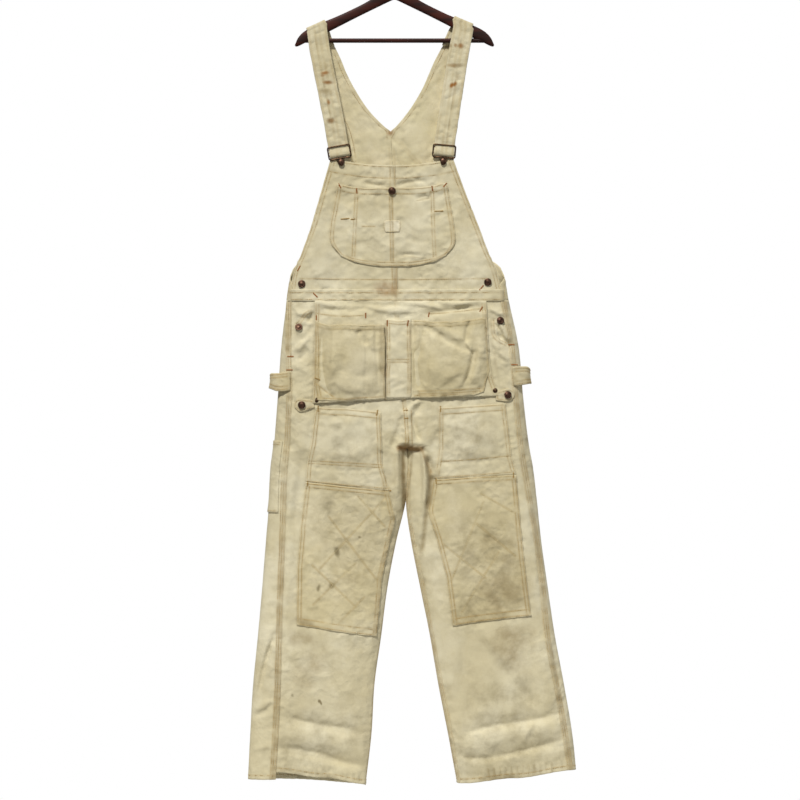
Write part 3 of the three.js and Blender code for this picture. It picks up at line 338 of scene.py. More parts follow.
LEAST_STEEP = 3.4  # a steep side narrower than this would fall between two rows of the cloth
FADE = 0.12  # the share of its length by which a fold runs on past each end
CHANCE_SIZE = 97
CHANCE = np.random.default_rng(11).uniform(-1, 1, (CHANCE_SIZE, CHANCE_SIZE))


def swell(x, z, size):
    """Smooth uneven heights between -1 and 1, whose bumps are about as wide as size."""
    u, v = (x * 0.94 + z * 0.34) / size, (z * 0.94 - x * 0.34) / size
    i, j = np.floor(u).astype(int), np.floor(v).astype(int)
    s, t = u - i, v - j
    s, t = s * s * (3 - 2 * s), t * t * (3 - 2 * t)
    at = lambda a, b: CHANCE[a % CHANCE_SIZE, b % CHANCE_SIZE]
    top = at(i, j) * (1 - s) + at(i + 1, j) * s
    return top * (1 - t) + (at(i, j + 1) * (1 - s) + at(i + 1, j + 1) * s) * t


def fold_height(folds, x, z):
    """The push of all the folds at a point, each fading towards its two ends."""
    height = np.zeros(np.broadcast(x, z).shape)
    for x1, z1, x2, z2, width, size, bow in folds:
        length = math.hypot(x2 - x1, z2 - z1)
        ux, uz = (x2 - x1) / length, (z2 - z1) / length
        along = ((x - x1) * ux + (z - z1) * uz) / length
        near = (along > -FADE) & (along < 1 + FADE)
        across = (x - x1) * uz - (z - z1) * ux - bow * (1 - (2 * along - 1) ** 2)
        near &= np.abs(across) < 4 * width
        if not near.any():
            continue
        fade = ease(-FADE, 0.2, along) * (1 - ease(0.8, 1 + FADE, along))
        spread = np.where(across > 0, max(STEEP * width, min(width, LEAST_STEEP)), GENTLE * width)
        height = height + np.where(near, size * fade * np.exp(-((across / spread) ** 2)), 0)
    return height


print(len(FRONT_FOLDS + FRONT_CREASES), "creases in front and", len(BACK_FOLDS + BACK_CREASES), "behind")

# %% [markdown]
# The skin of the garment is one function of x and z for each face. Both faces round off to the side
# folds, and below the crotch to the inner folds too. Everything that lies on the front, from the bib
# pocket to the knee patches, is made from this same function, so it follows every crease below it.

# %% The skin
class Side:
    def __init__(self, name, sign):
        self.name, self.sign = name.lower(), sign
        self.seam, self.centre = "seam" + name, "centre" + name
        self.arm, self.neck = "arm" + name, "neck" + name


class Face:
    def __init__(self, depth, sign, folds, fork):
        self.depth, self.sign, self.folds, self.fork = depth, sign, folds, fork


LEFT, RIGHT = Side("Left", -1), Side("Right", 1)
CREASE_DEPTH = 1.35  # how many times deeper the small creases are pressed than their rows say
deeper = lambda rows: [[*row[:5], row[5] * CREASE_DEPTH, row[6]] for row in rows]
FRONT = Face("front", -1, FRONT_FOLDS + deeper(FRONT_CREASES), FORK_Z)
BACK = Face("back", 1, BACK_FOLDS + deeper(BACK_CREASES), BACK_FORK_Z)
FLY_TUCK = 9  # how far the cloth falls back under the lower edge of the fly
INNER_ROLL = (22, 60)  # the rounding of the legs' inner edges, low down and at the crotch
PRESSED = 1.3  # how much the two legs flatten each other below the crotch


def uneven(x, z, sign):
    """The swells and creases that no table lists: broad, hanging, crumpled and small."""
    broad = 1.9 * swell(x - 220 * sign, z, 115) + 1.6 * swell(x + 500 * sign, 0.3 * z, 47)
    crumple = 1 - 2 * np.sqrt(swell(x + 300 * sign, 0.8 * z, 43) ** 2 + 0.01)
    finer = 1 - 2 * np.sqrt(swell(x - 150 * sign, z, 23) ** 2 + 0.01)
    return broad + 1.15 * crumple + 0.5 * finer + 0.25 * swell(x + 90 * sign, 0.8 * z, 15)


def fly_edge(x):
    """The height of the fly's lower edge, which slants a little and turns down at its right end."""
    return -1046 - 0.12 * (x - 12) - 5 * ease(50, 60, x)


def below_fly(x, z):
    """How far the cloth between the legs falls back under the lower edge of the fly."""
    between = ease(7, 13, x) * (1 - ease(50, 58, x + 0.06 * (z - CROTCH_Z)))
    return FLY_TUCK * ease(0, 5, fly_edge(x) - z) * between * ease(-1190, -1060, z)


def inner_x(side, z):
    """The inner edge of a leg. Just below the crotch the two legs press on each other."""
    pressed = PRESSED * ease(-1150, -1110, z) * (1 - ease(-1049, -1045, z))
    return column(BODY, side.centre, z) + side.sign * (SEAM_GAP / 2 - pressed)


def skin_y(side, face, x, z):
    """How far the skin lies in front of or behind the middle at x, z."""
    low, high = INNER_ROLL
    inner_roll = low + (high - low) * (1 - ease(-1260, CROTCH_Z, z))
    outer = quarter_round(np.maximum(side.sign * (column(BODY, side.name, z) - x), 0), SIDE_ROLL)
    from_inner = np.maximum(side.sign * (x - inner_x(side, z)), 0)
    closed = 1 - ease(CROTCH_Z, face.fork, z)
    if face is FRONT:
        fly = ease(-6, 14, x) * (1 - ease(50, 72, x))
        closed = closed * (1 - fly) + fly * ease(0, 4, fly_edge(x) - z)
    roundness = outer * (1 - closed * (1 - quarter_round(from_inner, inner_roll)))
    depth = column(BODY, face.depth, z) + fold_height(face.folds, x, z) + uneven(x, z, face.sign)
    if face is FRONT:
        depth = depth - below_fly(x, z)
    return face.sign * depth * roundness


def front_y(x, z):
    left = x < column(BODY, "centreLeft", z)
    return np.where(left, skin_y(LEFT, FRONT, x, z), skin_y(RIGHT, FRONT, x, z))


def over_front(x, z, lift):
    """Points over the front at x, z, moved out along its slope by lift."""
    step = 0.7
    along = (front_y(x + step, z) - front_y(x - step, z)) / (2 * step)
    down = (front_y(x, z + step) - front_y(x, z - step)) / (2 * step)
    normal = unit(np.stack([along, -np.ones_like(along), down], -1))
    return np.stack([x, front_y(x, z), z], -1) + normal * np.asarray(lift)[..., None]


class PlanLines:
    """For each height, the line round one side: front centre, side fold, back centre."""

    STEPS = 64

    def __init__(self, side, z):
        self.side, self.z = side, z
        height = z[:, None]
        outer, inner = column(BODY, side.name, height), inner_x(side, height)
        share = (1 - np.cos(np.pi * np.arange(self.STEPS + 1) / self.STEPS)) / 2
        front_x, back_x = inner + (outer - inner) * share, outer + (inner - outer) * share[1:]
        x = np.hstack([front_x, back_x])
        y = np.hstack([skin_y(side, FRONT, front_x, height), skin_y(side, BACK, back_x, height)])
        lengths = np.cumsum(np.hypot(np.diff(x), np.diff(y)), axis=1)
        self.lengths = np.hstack([np.zeros_like(height), lengths])
        self.x, self.y, self.total = x, y, self.lengths[:, -1]

    def at_x(self, face, x):
        """The length at which the front or the back passes x, for each height."""
        part = slice(0, self.STEPS + 1) if face is FRONT else slice(self.STEPS, None)
        order = 1 if face is FRONT else -1
        found = []
        for row, wanted in enumerate(np.broadcast_to(x, self.z.shape)):
            xs, lengths = self.x[row, part] * self.side.sign, self.lengths[row, part]
            found.append(np.interp(wanted * self.side.sign, xs[::order], lengths[::order]))
        return np.array(found)

    def points(self, lengths):
        """Points at lengths (heights, columns), running on straight past the ends in the trunk."""
        made = np.empty(lengths.shape + (3,))
        for row, z in enumerate(self.z):
            wanted, total = lengths[row], self.total[row]
            if z < CROTCH_Z:
                wanted = np.mod(wanted, total)
            at, x, y = self.lengths[row], self.x[row], self.y[row]
            made[row, :, 0] = np.interp(wanted, at, x) + np.minimum(wanted, 0) * self.side.sign
            made[row, :, 0] -= np.maximum(wanted - total, 0) * self.side.sign
            made[row, :, 1] = np.interp(wanted, at, y)
            made[row, :, 2] = z
        return made


def inseam_length(side, z):
    """How far past the inner fold the inseam lies, which is seen on the right leg alone."""
    if side is LEFT:
        return np.zeros_like(z)
    return column(BODY, "inseamRight", z) * (1 - ease(CROTCH_Z - 60, CROTCH_Z, z))


print(f"the front stands {-front_y(np.array([-100.0]), np.array([-900.0]))[0]:.1f} mm out at the left hip")

# %% [markdown]
# A piece of cloth is kept as a grid of points, rows down and columns across, until all pieces are
# placed. Then seams can be measured on it, stitches laid along them, and only at the end does it
# become a mesh: an outer and an inner layer, joined round the edge by a soft rim, as turned cloth is.

# %% Cloth as a grid
def run_along(points):
    """The distance from the first point at each point of a line."""
    return np.concatenate([[0], np.cumsum(np.linalg.norm(np.diff(points, axis=0), axis=1))])


def at_run(wanted, run, values):
    """The values of a line at the wanted distances along it."""
    return np.stack([np.interp(wanted, run, values[:, i]) for i in range(values.shape[1])], 1)


class Cloth:
    def __init__(self, name, points, facing, thickness=CLOTH):
        self.name, self.points, self.thickness = name, points, thickness
        self.sign = 1
        self.sign = -1 if (self.normals() * facing).sum(-1).mean() < 0 else 1

    def normals(self):
        across, down = np.gradient(self.points, axis=1), np.gradient(self.points, axis=0)
        return self.sign * unit(np.cross(across, down))

    def move_out(self, lift):
        self.points = self.points + self.normals() * np.asarray(lift)[..., None]

    def quads(self, first=0):
        """The grid's faces, as numbers of its points counted on from first."""
        index = first + np.arange(self.points[..., 0].size).reshape(self.points.shape[:2])
        return np.stack([index[:-1, :-1], index[1:, :-1], index[1:, 1:], index[:-1, 1:]], -1).reshape(-1, 4)

    def along(self, axis):
        """The distance from the first row (axis 0) or column (axis 1) at every point."""
        steps = np.linalg.norm(np.diff(self.points, axis=axis), axis=2)
        start = np.zeros_like(steps.take([0], axis=axis))
        return np.concatenate([start, np.cumsum(steps, axis=axis)], axis=axis)

    def from_edge(self, edge):
        distance = self.along(0 if edge in ("top", "bottom") else 1)
        if edge == "bottom":
            return distance[-1:] - distance
        return distance[:, -1:] - distance if edge == "end" else distance

    def line(self, edge, inset, trim=(0, 0), inside=False):
        """Points and normals of a line that keeps its distance from an edge: top, bottom, start, end."""
        points, normals, distance = self.points, self.normals(), self.from_edge(edge)
        if edge in ("top", "bottom"):
            points, normals, distance = points.swapaxes(0, 1), normals.swapaxes(0, 1), distance.T
        order = -1 if edge in ("bottom", "end") else 1
        steps = np.arange(points.shape[1])[::order].astype(float)
        made, facing = [], []
        for row in range(len(points)):
            place = np.interp(inset, distance[row][::order], steps)
            low = min(int(place), points.shape[1] - 2)
            t = place - low
            made.append(points[row, low] * (1 - t) + points[row, low + 1] * t)
            facing.append(normals[row, low] * (1 - t) + normals[row, low + 1] * t)
        made, facing = np.array(made), np.array(facing)
        if inside:
            made, facing = made - facing * self.thickness, -facing
        run = run_along(made)
        kept = (run >= trim[0]) & (run <= run[-1] - trim[1])
        return made[kept], facing[kept]


cloths = {}


def keep(cloth):
    cloths[cloth.name] = cloth
    return cloth


def raise_edges(cloth, edges, height, width):
    """Lifts the cloth near the given edges, where it is turned under and stitched down."""
    lift = np.zeros(cloth.points.shape[:2])
    for edge in edges:
        lift = np.maximum(lift, height * (1 - ease(width - 2, width + 3, cloth.from_edge(edge))))
    cloth.move_out(lift)


print("one layer of cloth is", CLOTH, "mm thick and a doubled one", DOUBLE, "mm")

# %% [markdown]
# The four trouser panels are stretches of the plan line, from the waist to the hem. A flat-felled
# seam laps one panel over the next, so the back panels run on over the fronts by half a seam's width
# and stand a layer proud there. That step is what catches the light beside the brown stitching. Each
# hem hangs a little lower or higher at its outer end, its middle and its inner end.

# %% Trouser panels
FACING_FRONT, FACING_BACK = (0, -1, 0), (0, 1, 0)
SEAM_LAP = 6.5
BELOW_HEMS = -1775
HEM_DROP = {
    "front_left": (17, 5.4, -11),
    "front_right": (20, 4, -8),
    "back_left": (1, -5, -14),
    "back_right": (20, 8, -8),
}


def levels(*stretches):
    """Heights from one stretch (top, bottom, step) after another."""
    parts = [np.linspace(top, low, int(round((top - low) / step)) + 1) for top, low, step in stretches]
    return np.unique(np.concatenate(parts))[::-1]


def hem_rise(drop, share, z):
    outer, middle, inner = drop
    low = outer + (middle - outer) * ease(0, 1, share * 2)
    high = middle + (inner - middle) * ease(0, 1, share * 2 - 1)
    return np.where(share < 0.5, low, high) * (1 - ease(HEM_Z, -1560, z))


def lap_lift(distance):
    """How far a felled seam stands out, at this distance from its edge."""
    return 1.3 * (1 - ease(2 * SEAM_LAP - 1, 2 * SEAM_LAP + 5, distance))


def panel(name, lines, start, end, heights, facing):
    """Cloth between two lengths on the plan lines, whose grid lies at the heights (rows, columns)."""
    share = np.linspace(0, 1, heights.shape[1])
    grid = lines.points(start[:, None] + (end - start)[:, None] * share)
    points = np.empty(heights.shape + (3,))
    for j in range(heights.shape[1]):
        for axis in range(2):
            points[:, j, axis] = np.interp(-heights[:, j], -lines.z, grid[:, j, axis])
    points[..., 2] = heights
    return keep(Cloth(name, points, facing))


def trouser_panel(name, side, is_front, columns, heights):
    lines = PlanLines(side, levels((WAIST_Z, BELOW_HEMS, 3)))
    seam = lines.at_x(FRONT, column(BODY, side.seam, lines.z))
    inseam = inseam_length(side, lines.z)
    leg = 1 - ease(-1120, -1075, lines.z)
    lapped = is_front == (side is LEFT)
    trunk = ease(-1046, -1034, lines.z) if is_front else ease(-1000, -950, lines.z)
    lap = SEAM_LAP * (leg + trunk) if lapped else 0 * lines.z
    if is_front:
        start, end = seam - SEAM_GAP / 2, inseam - lap
        if side is RIGHT:
            end = inseam + SEAM_GAP / 2
    else:
        start, end = seam - SEAM_LAP, lines.total + inseam + lap - SEAM_GAP / 2 * (side is LEFT)
    share, row = np.linspace(0, 1, columns)[None, :], heights[:, None]
    grid, facing = row + hem_rise(HEM_DROP[name], share, row), FACING_FRONT if is_front else FACING_BACK
    cloth = panel(name, lines, start, end, grid, facing)
    lift = np.zeros(cloth.points.shape[:2])
    if not is_front:
        lift = np.maximum(lift, lap_lift(cloth.from_edge("start")))
    if lapped:
        share_of_lap = np.interp(-heights, -lines.z, lap / SEAM_LAP)[:, None]
        lift = np.maximum(lift, lap_lift(cloth.from_edge("end")) * share_of_lap)
    cloth.move_out(lift)
    return cloth


FRONT_LEVELS = levels((WAIST_Z, -1020, 3), (-1020, -1080, 2), (-1080, -1560, 4.2), (-1560, HEM_Z, 3))
BACK_LEVELS = levels((WAIST_Z, -1560, 4.4), (-1560, HEM_Z, 3.4))
trouser_panel("front_left", LEFT, True, 80, FRONT_LEVELS)
trouser_panel("front_right", RIGHT, True, 80, FRONT_LEVELS)
back_left = trouser_panel("back_left", LEFT, False, 84, BACK_LEVELS)
trouser_panel("back_right", RIGHT, False, 84, BACK_LEVELS)
print("trouser panels:", {c.name: c.points.shape[:2] for c in cloths.values()})

# %% [markdown]
# The bib and the high back are the same kind of panel. The bib's top sags between its two studs, and
# the back runs up in two arms to the straps, with the V of the neck between them.

# %% Bib and back
BIB_TOP = -445
BIB_TOP_SAG = 15
NECK_Z = -386  # the point of the V
WRAP_END = SIDE_CORNER_Z - 22  # below this the back reaches the front's side seam


def bib_stretch(side, z, lines):
    return lines.at_x(FRONT, column(BIB, side.name, z)), np.full_like(z, -SEAM_LAP * (side is LEFT))


def yoke_stretch(side, z, lines):
    wrap = 1 - ease(WRAP_END, SIDE_CORNER_Z, z)
    fold = column(BODY, side.name, z)
    low_start = lines.at_x(FRONT, fold + (column(BODY, side.seam, z) - fold) * wrap)
    low_start = low_start - SEAM_LAP * wrap
    start = np.where(z > SIDE_CORNER_Z, lines.at_x(BACK, column(YOKE, side.arm, z)), low_start)
    end = np.where(z > NECK_Z, lines.at_x(BACK, column(YOKE, side.neck, z)), lines.total)
    return start, end + SEAM_LAP * (side is RIGHT) * (1 - ease(NECK_Z - 14, NECK_Z, z))


def upper_panel(name, side, heights, columns, stretch, facing, sag=0):
    lines = PlanLines(side, levels((heights[0], heights[-1] - 20, 3)))
    share, row = np.linspace(0, 1, columns), heights[:, None]
    drop = sag * (1 - (1 - share) ** 2) * (1 - ease(BIB_TOP, -560, row))
    return panel(name, lines, *stretch(side, lines.z, lines), row - drop, facing)


BIB_LEVELS, YOKE_LEVELS = levels((BIB_TOP, WAIST_Z, 3.2)), levels((-205, WAIST_Z, 4))
for side in (LEFT, RIGHT):
    upper_panel("bib_" + side.name, side, BIB_LEVELS, 66, bib_stretch, FACING_FRONT, BIB_TOP_SAG)
cloths["bib_left"].move_out(lap_lift(cloths["bib_left"].from_edge("end")))
wrapped = (1 - ease(WRAP_END, SIDE_CORNER_Z, YOKE_LEVELS))[:, None]
for side in (LEFT, RIGHT):
    yoke = upper_panel("back_yoke_" + side.name, side, YOKE_LEVELS, 54, yoke_stretch, FACING_BACK)
    yoke.move_out(lap_lift(yoke.from_edge("start")) * wrapped)
yoke.move_out(lap_lift(yoke.from_edge("end")) * (1 - ease(NECK_Z - 14, NECK_Z, YOKE_LEVELS))[:, None])
print("the bib is", round(float(cloths["bib_left"].along(0)[-1, -1])), "mm high at its centre seam")

# %% [markdown]
# Pockets, patches and tabs are cut to an outline and laid on the front. An outline is written as its
# top, bottom, left and right edges, each a line of x and z. A Coons patch fills it with a grid, so its
# rows and columns run along the edges just as the turned and stitched borders do.

# %% Pieces laid on the front
LAY = 0.55  # between a piece and the cloth it lies on


def curve(points, count, smooth=False):
    """count points spaced evenly along a line of points, on a smooth curve if asked."""
    points = np.array(points, float)
    if smooth:
        ends = np.vstack([2 * points[0] - points[1], points, 2 * points[-1] - points[-2]])
        t = np.linspace(0, 1, 12, endpoint=False)[:, None]
        parts = []
        for a, b, c, d in zip(ends, ends[1:], ends[2:], ends[3:]):
            cubic = (2 * a - 5 * b + 4 * c - d) * t**2 + (3 * b - a - 3 * c + d) * t**3
            parts.append(0.5 * (2 * b + (c - a) * t + cubic))
        points = np.vstack(parts + [points[-1:]])
    run = run_along(points)
    return at_run(np.linspace(0, run[-1], count), run, points)


def coons(outline, step, smooth):
    """x and z of a grid, about step apart, that fills an outline. Edges named in smooth are curves."""
    top, bottom, left, right = [numbers(edge) for edge in outline.split("|")]
    span = lambda p: np.linalg.norm(np.diff(np.array(p), axis=0), axis=1).sum()
    columns = int(max(span(top), span(bottom)) / step) + 2
    rows = int(max(span(left), span(right)) / step) + 2
    t, b = (curve(e, columns, n in smooth) for e, n in ((top, "t"), (bottom, "b")))
    l, r = (curve(e, rows, n in smooth) for e, n in ((left, "l"), (right, "r")))
    u, v = np.linspace(0, 1, columns)[None, :, None], np.linspace(0, 1, rows)[:, None, None]
    sides = (1 - v) * t[None] + v * b[None] + (1 - u) * l[:, None] + u * r[:, None]
    corners = (1 - u) * (1 - v) * t[0] + u * (1 - v) * t[-1] + (1 - u) * v * b[0] + u * v * b[-1]
    grid = sides - corners
    return grid[..., 0], grid[..., 1]


def lay(name, outline, step, lift, smooth="", thickness=CLOTH, turned=()):
    """A piece cut to an outline and laid on the front, as high as lift says, with its turned edges."""
    x, z = coons(outline, step, smooth)
    cloth = keep(Cloth(name, over_front(x, z, lift(x, z)), FACING_FRONT, thickness))
    for edges, height, width in turned:
        raise_edges(cloth, edges.split(), height, width)
    return cloth


def swelling(x, z, oval, power=2):
    """1 at the middle of an oval (x, z, half width, half height) and 0 at its rim."""
    across, down = np.abs((x - oval[0]) / oval[2]) ** power, np.abs((z - oval[1]) / oval[3]) ** power
    return np.maximum(1 - across - down, 0) ** 1.2


band = lay("waistband", """
-221 -719, 0 -720, 227 -719 |
-222 -743.5, 0 -744.5, 229 -743.5 |
-221 -719, -222 -743.5 |
227 -719, 229 -743.5
""", 3, lambda x, z: LAY + 0.5 + CLOTH)
print("the waistband is a grid of", band.points.shape[:2])

# %% [markdown]
# The bib pocket is one piece of cloth that three double rows of stitches part into two wide pockets
# between two narrow ones. Its mouth waves where it is loose. The small tape label on it is bare.

# %% Bib pocket and label
POCKET_MIDDLE = (-5, -575, 112, 92)
POCKET_BULGE = 3
POCKET_SEAMS = (-83, -2, 83)
MOUTH_WAVE = 3.5
POCKET_FOLDS = numbers("""
47 -533 70 -529 4.5 -4.2 -2, 70 -530 76 -512 4.5 -3.6 2, 12 -649 68 -655 4.5 -3.8 -3
22 -643 66 -648 5 1.6 -3, -100 -540 -60 -602 7 1.6 4, -116 -560 -90 -600 6 -1.6 3
-60 -620 -110 -640 6 -1.4 3, -50 -606 -14 -640 7 1.4 -3, 10 -560 60 -600 8 1.5 5, 20 -610 74 -622 6 -1.4 4
92 -560 112 -620 6 -1.5 4, -40 -520 -20 -560 7 -1.5 3, -74 -520 -64 -548 6 1.4 2, 14 -518 24 -548 6 1.5 -2
""")


def pocket_lift(x, z):
    """How far the pocket stands off the bib: its waving mouth, its seams, its bulge and its creases."""
    waves = 0.5 + 0.5 * np.sin(x / 13.0 + 0.6) * np.sin(x / 37.0)
    mouth = MOUTH_WAVE * ease(-524, -502, z) * waves
    left, middle, right = POCKET_SEAMS
    seams = 0.8 * np.exp(-(((x - middle) / 7.5) ** 4)) + 0.5 * np.exp(-(((x - left) / 6) ** 4))
    seams = seams + 0.5 * np.exp(-(((x - right) / 6) ** 4))
    loose = 1 - np.exp(-(((x + 84) / 9) ** 2)) - np.exp(-(((x - 82) / 9) ** 2))
    bulge = swelling(x, z, POCKET_MIDDLE)
    wrinkles = 0.5 + fold_height(POCKET_FOLDS, x, z) * np.clip(bulge * 4, 0, 1)
    return LAY + POCKET_BULGE * bulge + mouth * np.clip(loose, 0, 1) + seams + wrinkles


turned = [("start end bottom", 0.4, 9), ("top", 0.7, 13)]
lay("bib_pocket", """
-119 -499, -80 -506, -40 -508.5, -5 -508, 40 -507, 75 -504, 110 -497 |
-112 -650, -80 -663, -40 -670, 0 -671.5, 40 -670, 80 -662, 107 -649 |
-119 -499, -127 -545, -134 -586, -134 -620, -112 -650 |
110 -497, 118 -545, 126 -594, 126 -624, 107 -649
""", 2.6, lambda x, z: pocket_lift(x, z) + CLOTH, "tblr", turned=turned)
TAPE = 0.6
lay("label_blank", """
-21 -578, -17 -576, 9 -576, 12 -578 |
-18 -600, 10 -600 |
-21 -578, -22 -590, -18 -600 |
12 -578, 13 -590, 10 -600
""", 2, lambda x, z: pocket_lift(x, z) + CLOTH + LAY + TAPE, thickness=TAPE)
print(len(cloths), "pieces of cloth so far")

# %% [markdown]
# The nail apron hangs from under the waistband and stands a little off the trousers. Small folds run
# along its top, and its lower edge hangs aslant.

# %% Nail apron
APRON_TOP_LIFT = 2.6  # how far the apron stands off just below the waistband
CORNER_LIFT = 1.6  # and at its lower corners
APRON_STAND_OFF = 3.2  # and how much more in its middle
APRON_END = -951
APRON_FOLDS = numbers("""
-158 -750 -70 -757 5 2.4 4, -150 -764 -40 -762 5 -2.2 -3, -90 -749 10 -753 4 -1.8 2
-60 -757 30 -766 6 2.4 4, -10 -780 40 -772 6 -2 3, 20 -750 100 -762 5 2.4 -4, 60 -771 176 -752 5 -2.4 3
96 -747 184 -750 4 2.2 3, 120 -758 180 -744 5 2 -3, -40 -790 -30 -940 6 -1.6 2, 38 -790 42 -940 5 -2 0
""")


def apron_lift(x, z):
    """How far the apron stands off the trousers, with its creases and where the bags' mouths push it."""
    left, right = column(APRON, "left", z), column(APRON, "right", z)
    share = np.clip((x - left) / (right - left), 0, 1)
    hang = ease(WAIST_Z, APRON_END, z)
    middle = 1 - (2 * share - 1) ** 4
    top = 0.9 + (APRON_TOP_LIFT - 0.9) * ease(WAIST_Z, -757, z)
    lift = top + (CORNER_LIFT - APRON_TOP_LIFT) * hang + APRON_STAND_OFF * np.sin(2.9 * hang) * middle
    mouth_left = ease(-164, -158, x) * (1 - ease(-66, -60, x)) * ease(-769, -772, z)
    mouth_right = ease(70, 76, x) * (1 - ease(186, 192, x)) * ease(-765, -768, z)
    return lift + 1.6 * fold_height(APRON_FOLDS, x, z) + 2.0 * (mouth_left + mouth_right)


share = np.linspace(0, 1, 112)[None, :]
z = np.linspace(WAIST_Z - 3.2, APRON_END, 66)[:, None]
fall = ease(-760, APRON_END, z)  # the lower edge hangs aslant
z = z - (10 - 22 * share) * fall * np.where(share < 0.55, 1, 0.5) + 3 * fall
x = column(APRON, "left", z)
x = x + share * (column(APRON, "right", z) - x)
apron = keep(Cloth("apron", over_front(x, z, apron_lift(x, z) + CLOTH), FACING_FRONT))
raise_edges(apron, ["start", "end"], 0.7, 9)
down_middle = apron_lift(x, z)[::13, 56]
print("down its middle the apron stands off by", down_middle.round(1), "mm")

# %% [markdown]
# Two deep bags bulge from the apron, with mouths that gape, and a flat tool slot lies between them.
# All three are laid on the apron's own surface.

# %% Bags and tool slot
BAG_LEFT_FOLDS = numbers("""
-150 -800 -148 -935 9 -3.5 3, -126 -800 -132 -900 9 2.6 -4, -76 -806 -58 -836 10 -2.6 5
-52 -812 -40 -850 9 2 4, -120 -880 -50 -900 14 -1.6 8, -160 -912 -120 -948 6 -1.6 2
-120 -915 -70 -935 9 1.6 4
""")
BAG_RIGHT_FOLDS = numbers("""
60 -795 158 -850 8 -1.7 6, 72 -790 150 -826 9 1.6 5, 62 -800 44 -860 8 -2.6 -3, 46 -850 50 -925 7 -2 2
160 -782 150 -830 6 -2.8 4, 150 -830 166 -850 6 2.6 2, 166 -838 143 -920 7 -3.8 -5
178 -830 160 -915 8 2.4 -4, 70 -880 130 -905 14 1.8 8, 140 -900 100 -925 8 -1.6 3
""")
BAG_LEFT = ((-92, -850, 76, 105), BAG_LEFT_FOLDS, (-163, -26, -793))
BAG_RIGHT = ((120, -843, 78, 105), BAG_RIGHT_FOLDS, (40, 186, -786))
BAG_BULGE = 9
MOUTH_GAPE = 1.8


def bag_lift(x, z, middle, folds, mouth):
    """How far a bag stands off: over the apron, with its gaping mouth, its bulge and its creases."""
    left, right, top = mouth
    width = np.sin(math.pi * np.clip((x - left) / (right - left), 0, 1)) ** 0.6
    gape = MOUTH_GAPE * width * np.exp(-(((z - top) / 13) ** 2))
    bulge = BAG_BULGE * swelling(x, z, middle, 3)
    return apron_lift(x, z) + CLOTH + LAY + gape + bulge + 1.8 * fold_height(folds, x, z)


def left_bag_lift(x, z):
    """The same for the left bag, whose inner edge stands proud of the slot beside it."""
    return bag_lift(x, z, *BAG_LEFT) + 4.0 * ease(-40, -22, x) * ease(-946, -915, z) + CLOTH


def slot_lift(x, z):
    return apron_lift(x, z) + CLOTH + LAY + 1.5 * swelling(x, z, (8, -820, 24, 50)) + CLOTH


lay("apron_bag_left", """
-165 -784, -150 -793, -110 -796, -60 -795, -22 -796 |
-160 -951, -118 -953, -60 -950, -19 -948 |
-165 -784, -166 -860, -166 -917, -160 -951 |
-22 -796, -20 -870, -19 -948
""", 2.6, left_bag_lift, "t", turned=[("top", 0.35, 10)])
lay("apron_bag_right", """
36.5 -784, 90 -788, 140 -787, 188 -780 |
36.5 -946, 110 -944, 168 -940, 186 -934 |
36.5 -784, 36.5 -946 |
188 -780, 198 -888, 186 -934
""", 2.6, lambda x, z: bag_lift(x, z, *BAG_RIGHT) + CLOTH, "t", turned=[("top", 0.35, 10)])
lay("apron_tool_slot", """
-17 -783, 8 -786, 34 -783 |
-17 -946, 34 -945 |
-17 -783, -17 -946 |
34 -783, 34 -945
""", 2.8, slot_lift, turned=[("top", 0.6, 9)])
print(len(cloths), "pieces of cloth so far")

# %% [markdown]
# Two doubled tabs hold the apron's lower corners to the hips. The open pockets on the thighs bulge a
# little, and the knees are patched with a second layer that is turned under all round.

# %% Tabs, thigh pockets and knee patches
TAB_CLOTH = 2.0
for name, outline in (("apron_tab_left", """
-205 -953, -196 -949, -168 -952 |
-207 -966, -196 -975, -168 -966 |
-205 -953, -209 -959, -207 -966 |
-168 -952, -168 -966
"""), ("apron_tab_right", """
212 -935, 236 -928, 247 -934 |
212 -951, 238 -953, 249 -945 |
212 -935, 212 -951 |
247 -934, 250 -940, 249 -945
""")):
    lay(name, outline, 2, lambda x, z: LAY + DOUBLE, "tb", TAB_CLOTH)
THIGH_FOLDS = numbers("""
-150 -1000 -60 -985 10 1.6 5, -140 -1060 -50 -1040 14 -1.4 -5, -165 -1092 -40 -1098 5 -0.9 2
110 -1000 200 -1040 12 1.8 -6, 120 -1060 190 -990 12 -1.6 5, 100 -1083 240 -1072 5 -0.9 2
""")
THIGH_BULGE = 3.5


def thigh_lift(x, z):
    bulge = swelling(x, z, (-104, -1030, 72, 75)) + swelling(x, z, (165, -1022, 72, 75))
    return LAY + THIGH_BULGE * bulge + 1.1 * fold_height(THIGH_FOLDS, x, z) + CLOTH + 0.3


turned = [("top", 0.7, 14), ("start end", 0.6, 10)]
lay("thigh_pocket_left", """
-164 -966, -96 -969, -29 -976 |
-184 -1121, -100 -1130, -11.5 -1140 |
-164 -966, -173 -1040, -182 -1081, -184 -1121 |
-29 -976, -26 -1085, -11.5 -1140
""", 2.8, thigh_lift, turned=turned)
lay("thigh_pocket_right", """
92 -967, 160 -963, 231 -958 |
84 -1116, 170 -1110, 253.5 -1105.5 |
92 -967, 93 -1051, 84 -1116 |
231 -958, 244 -1068, 253.5 -1105.5
""", 2.8, thigh_lift, turned=turned)
turned = [("start end", 0.5, 10), ("top", 0.8, 12), ("bottom", 0.2, 15)]
lay("knee_patch_left", """
-184.2 -1122, -100 -1131, -11.4 -1141 |
-204 -1420, -120 -1433, -38 -1445 |
-184.2 -1122, -195 -1211, -203 -1303, -204 -1420 |
-11.4 -1141, 1 -1198, -13 -1257, -27 -1325, -38 -1445
""", 3, lambda x, z: LAY + CLOTH + 0.2, turned=turned)
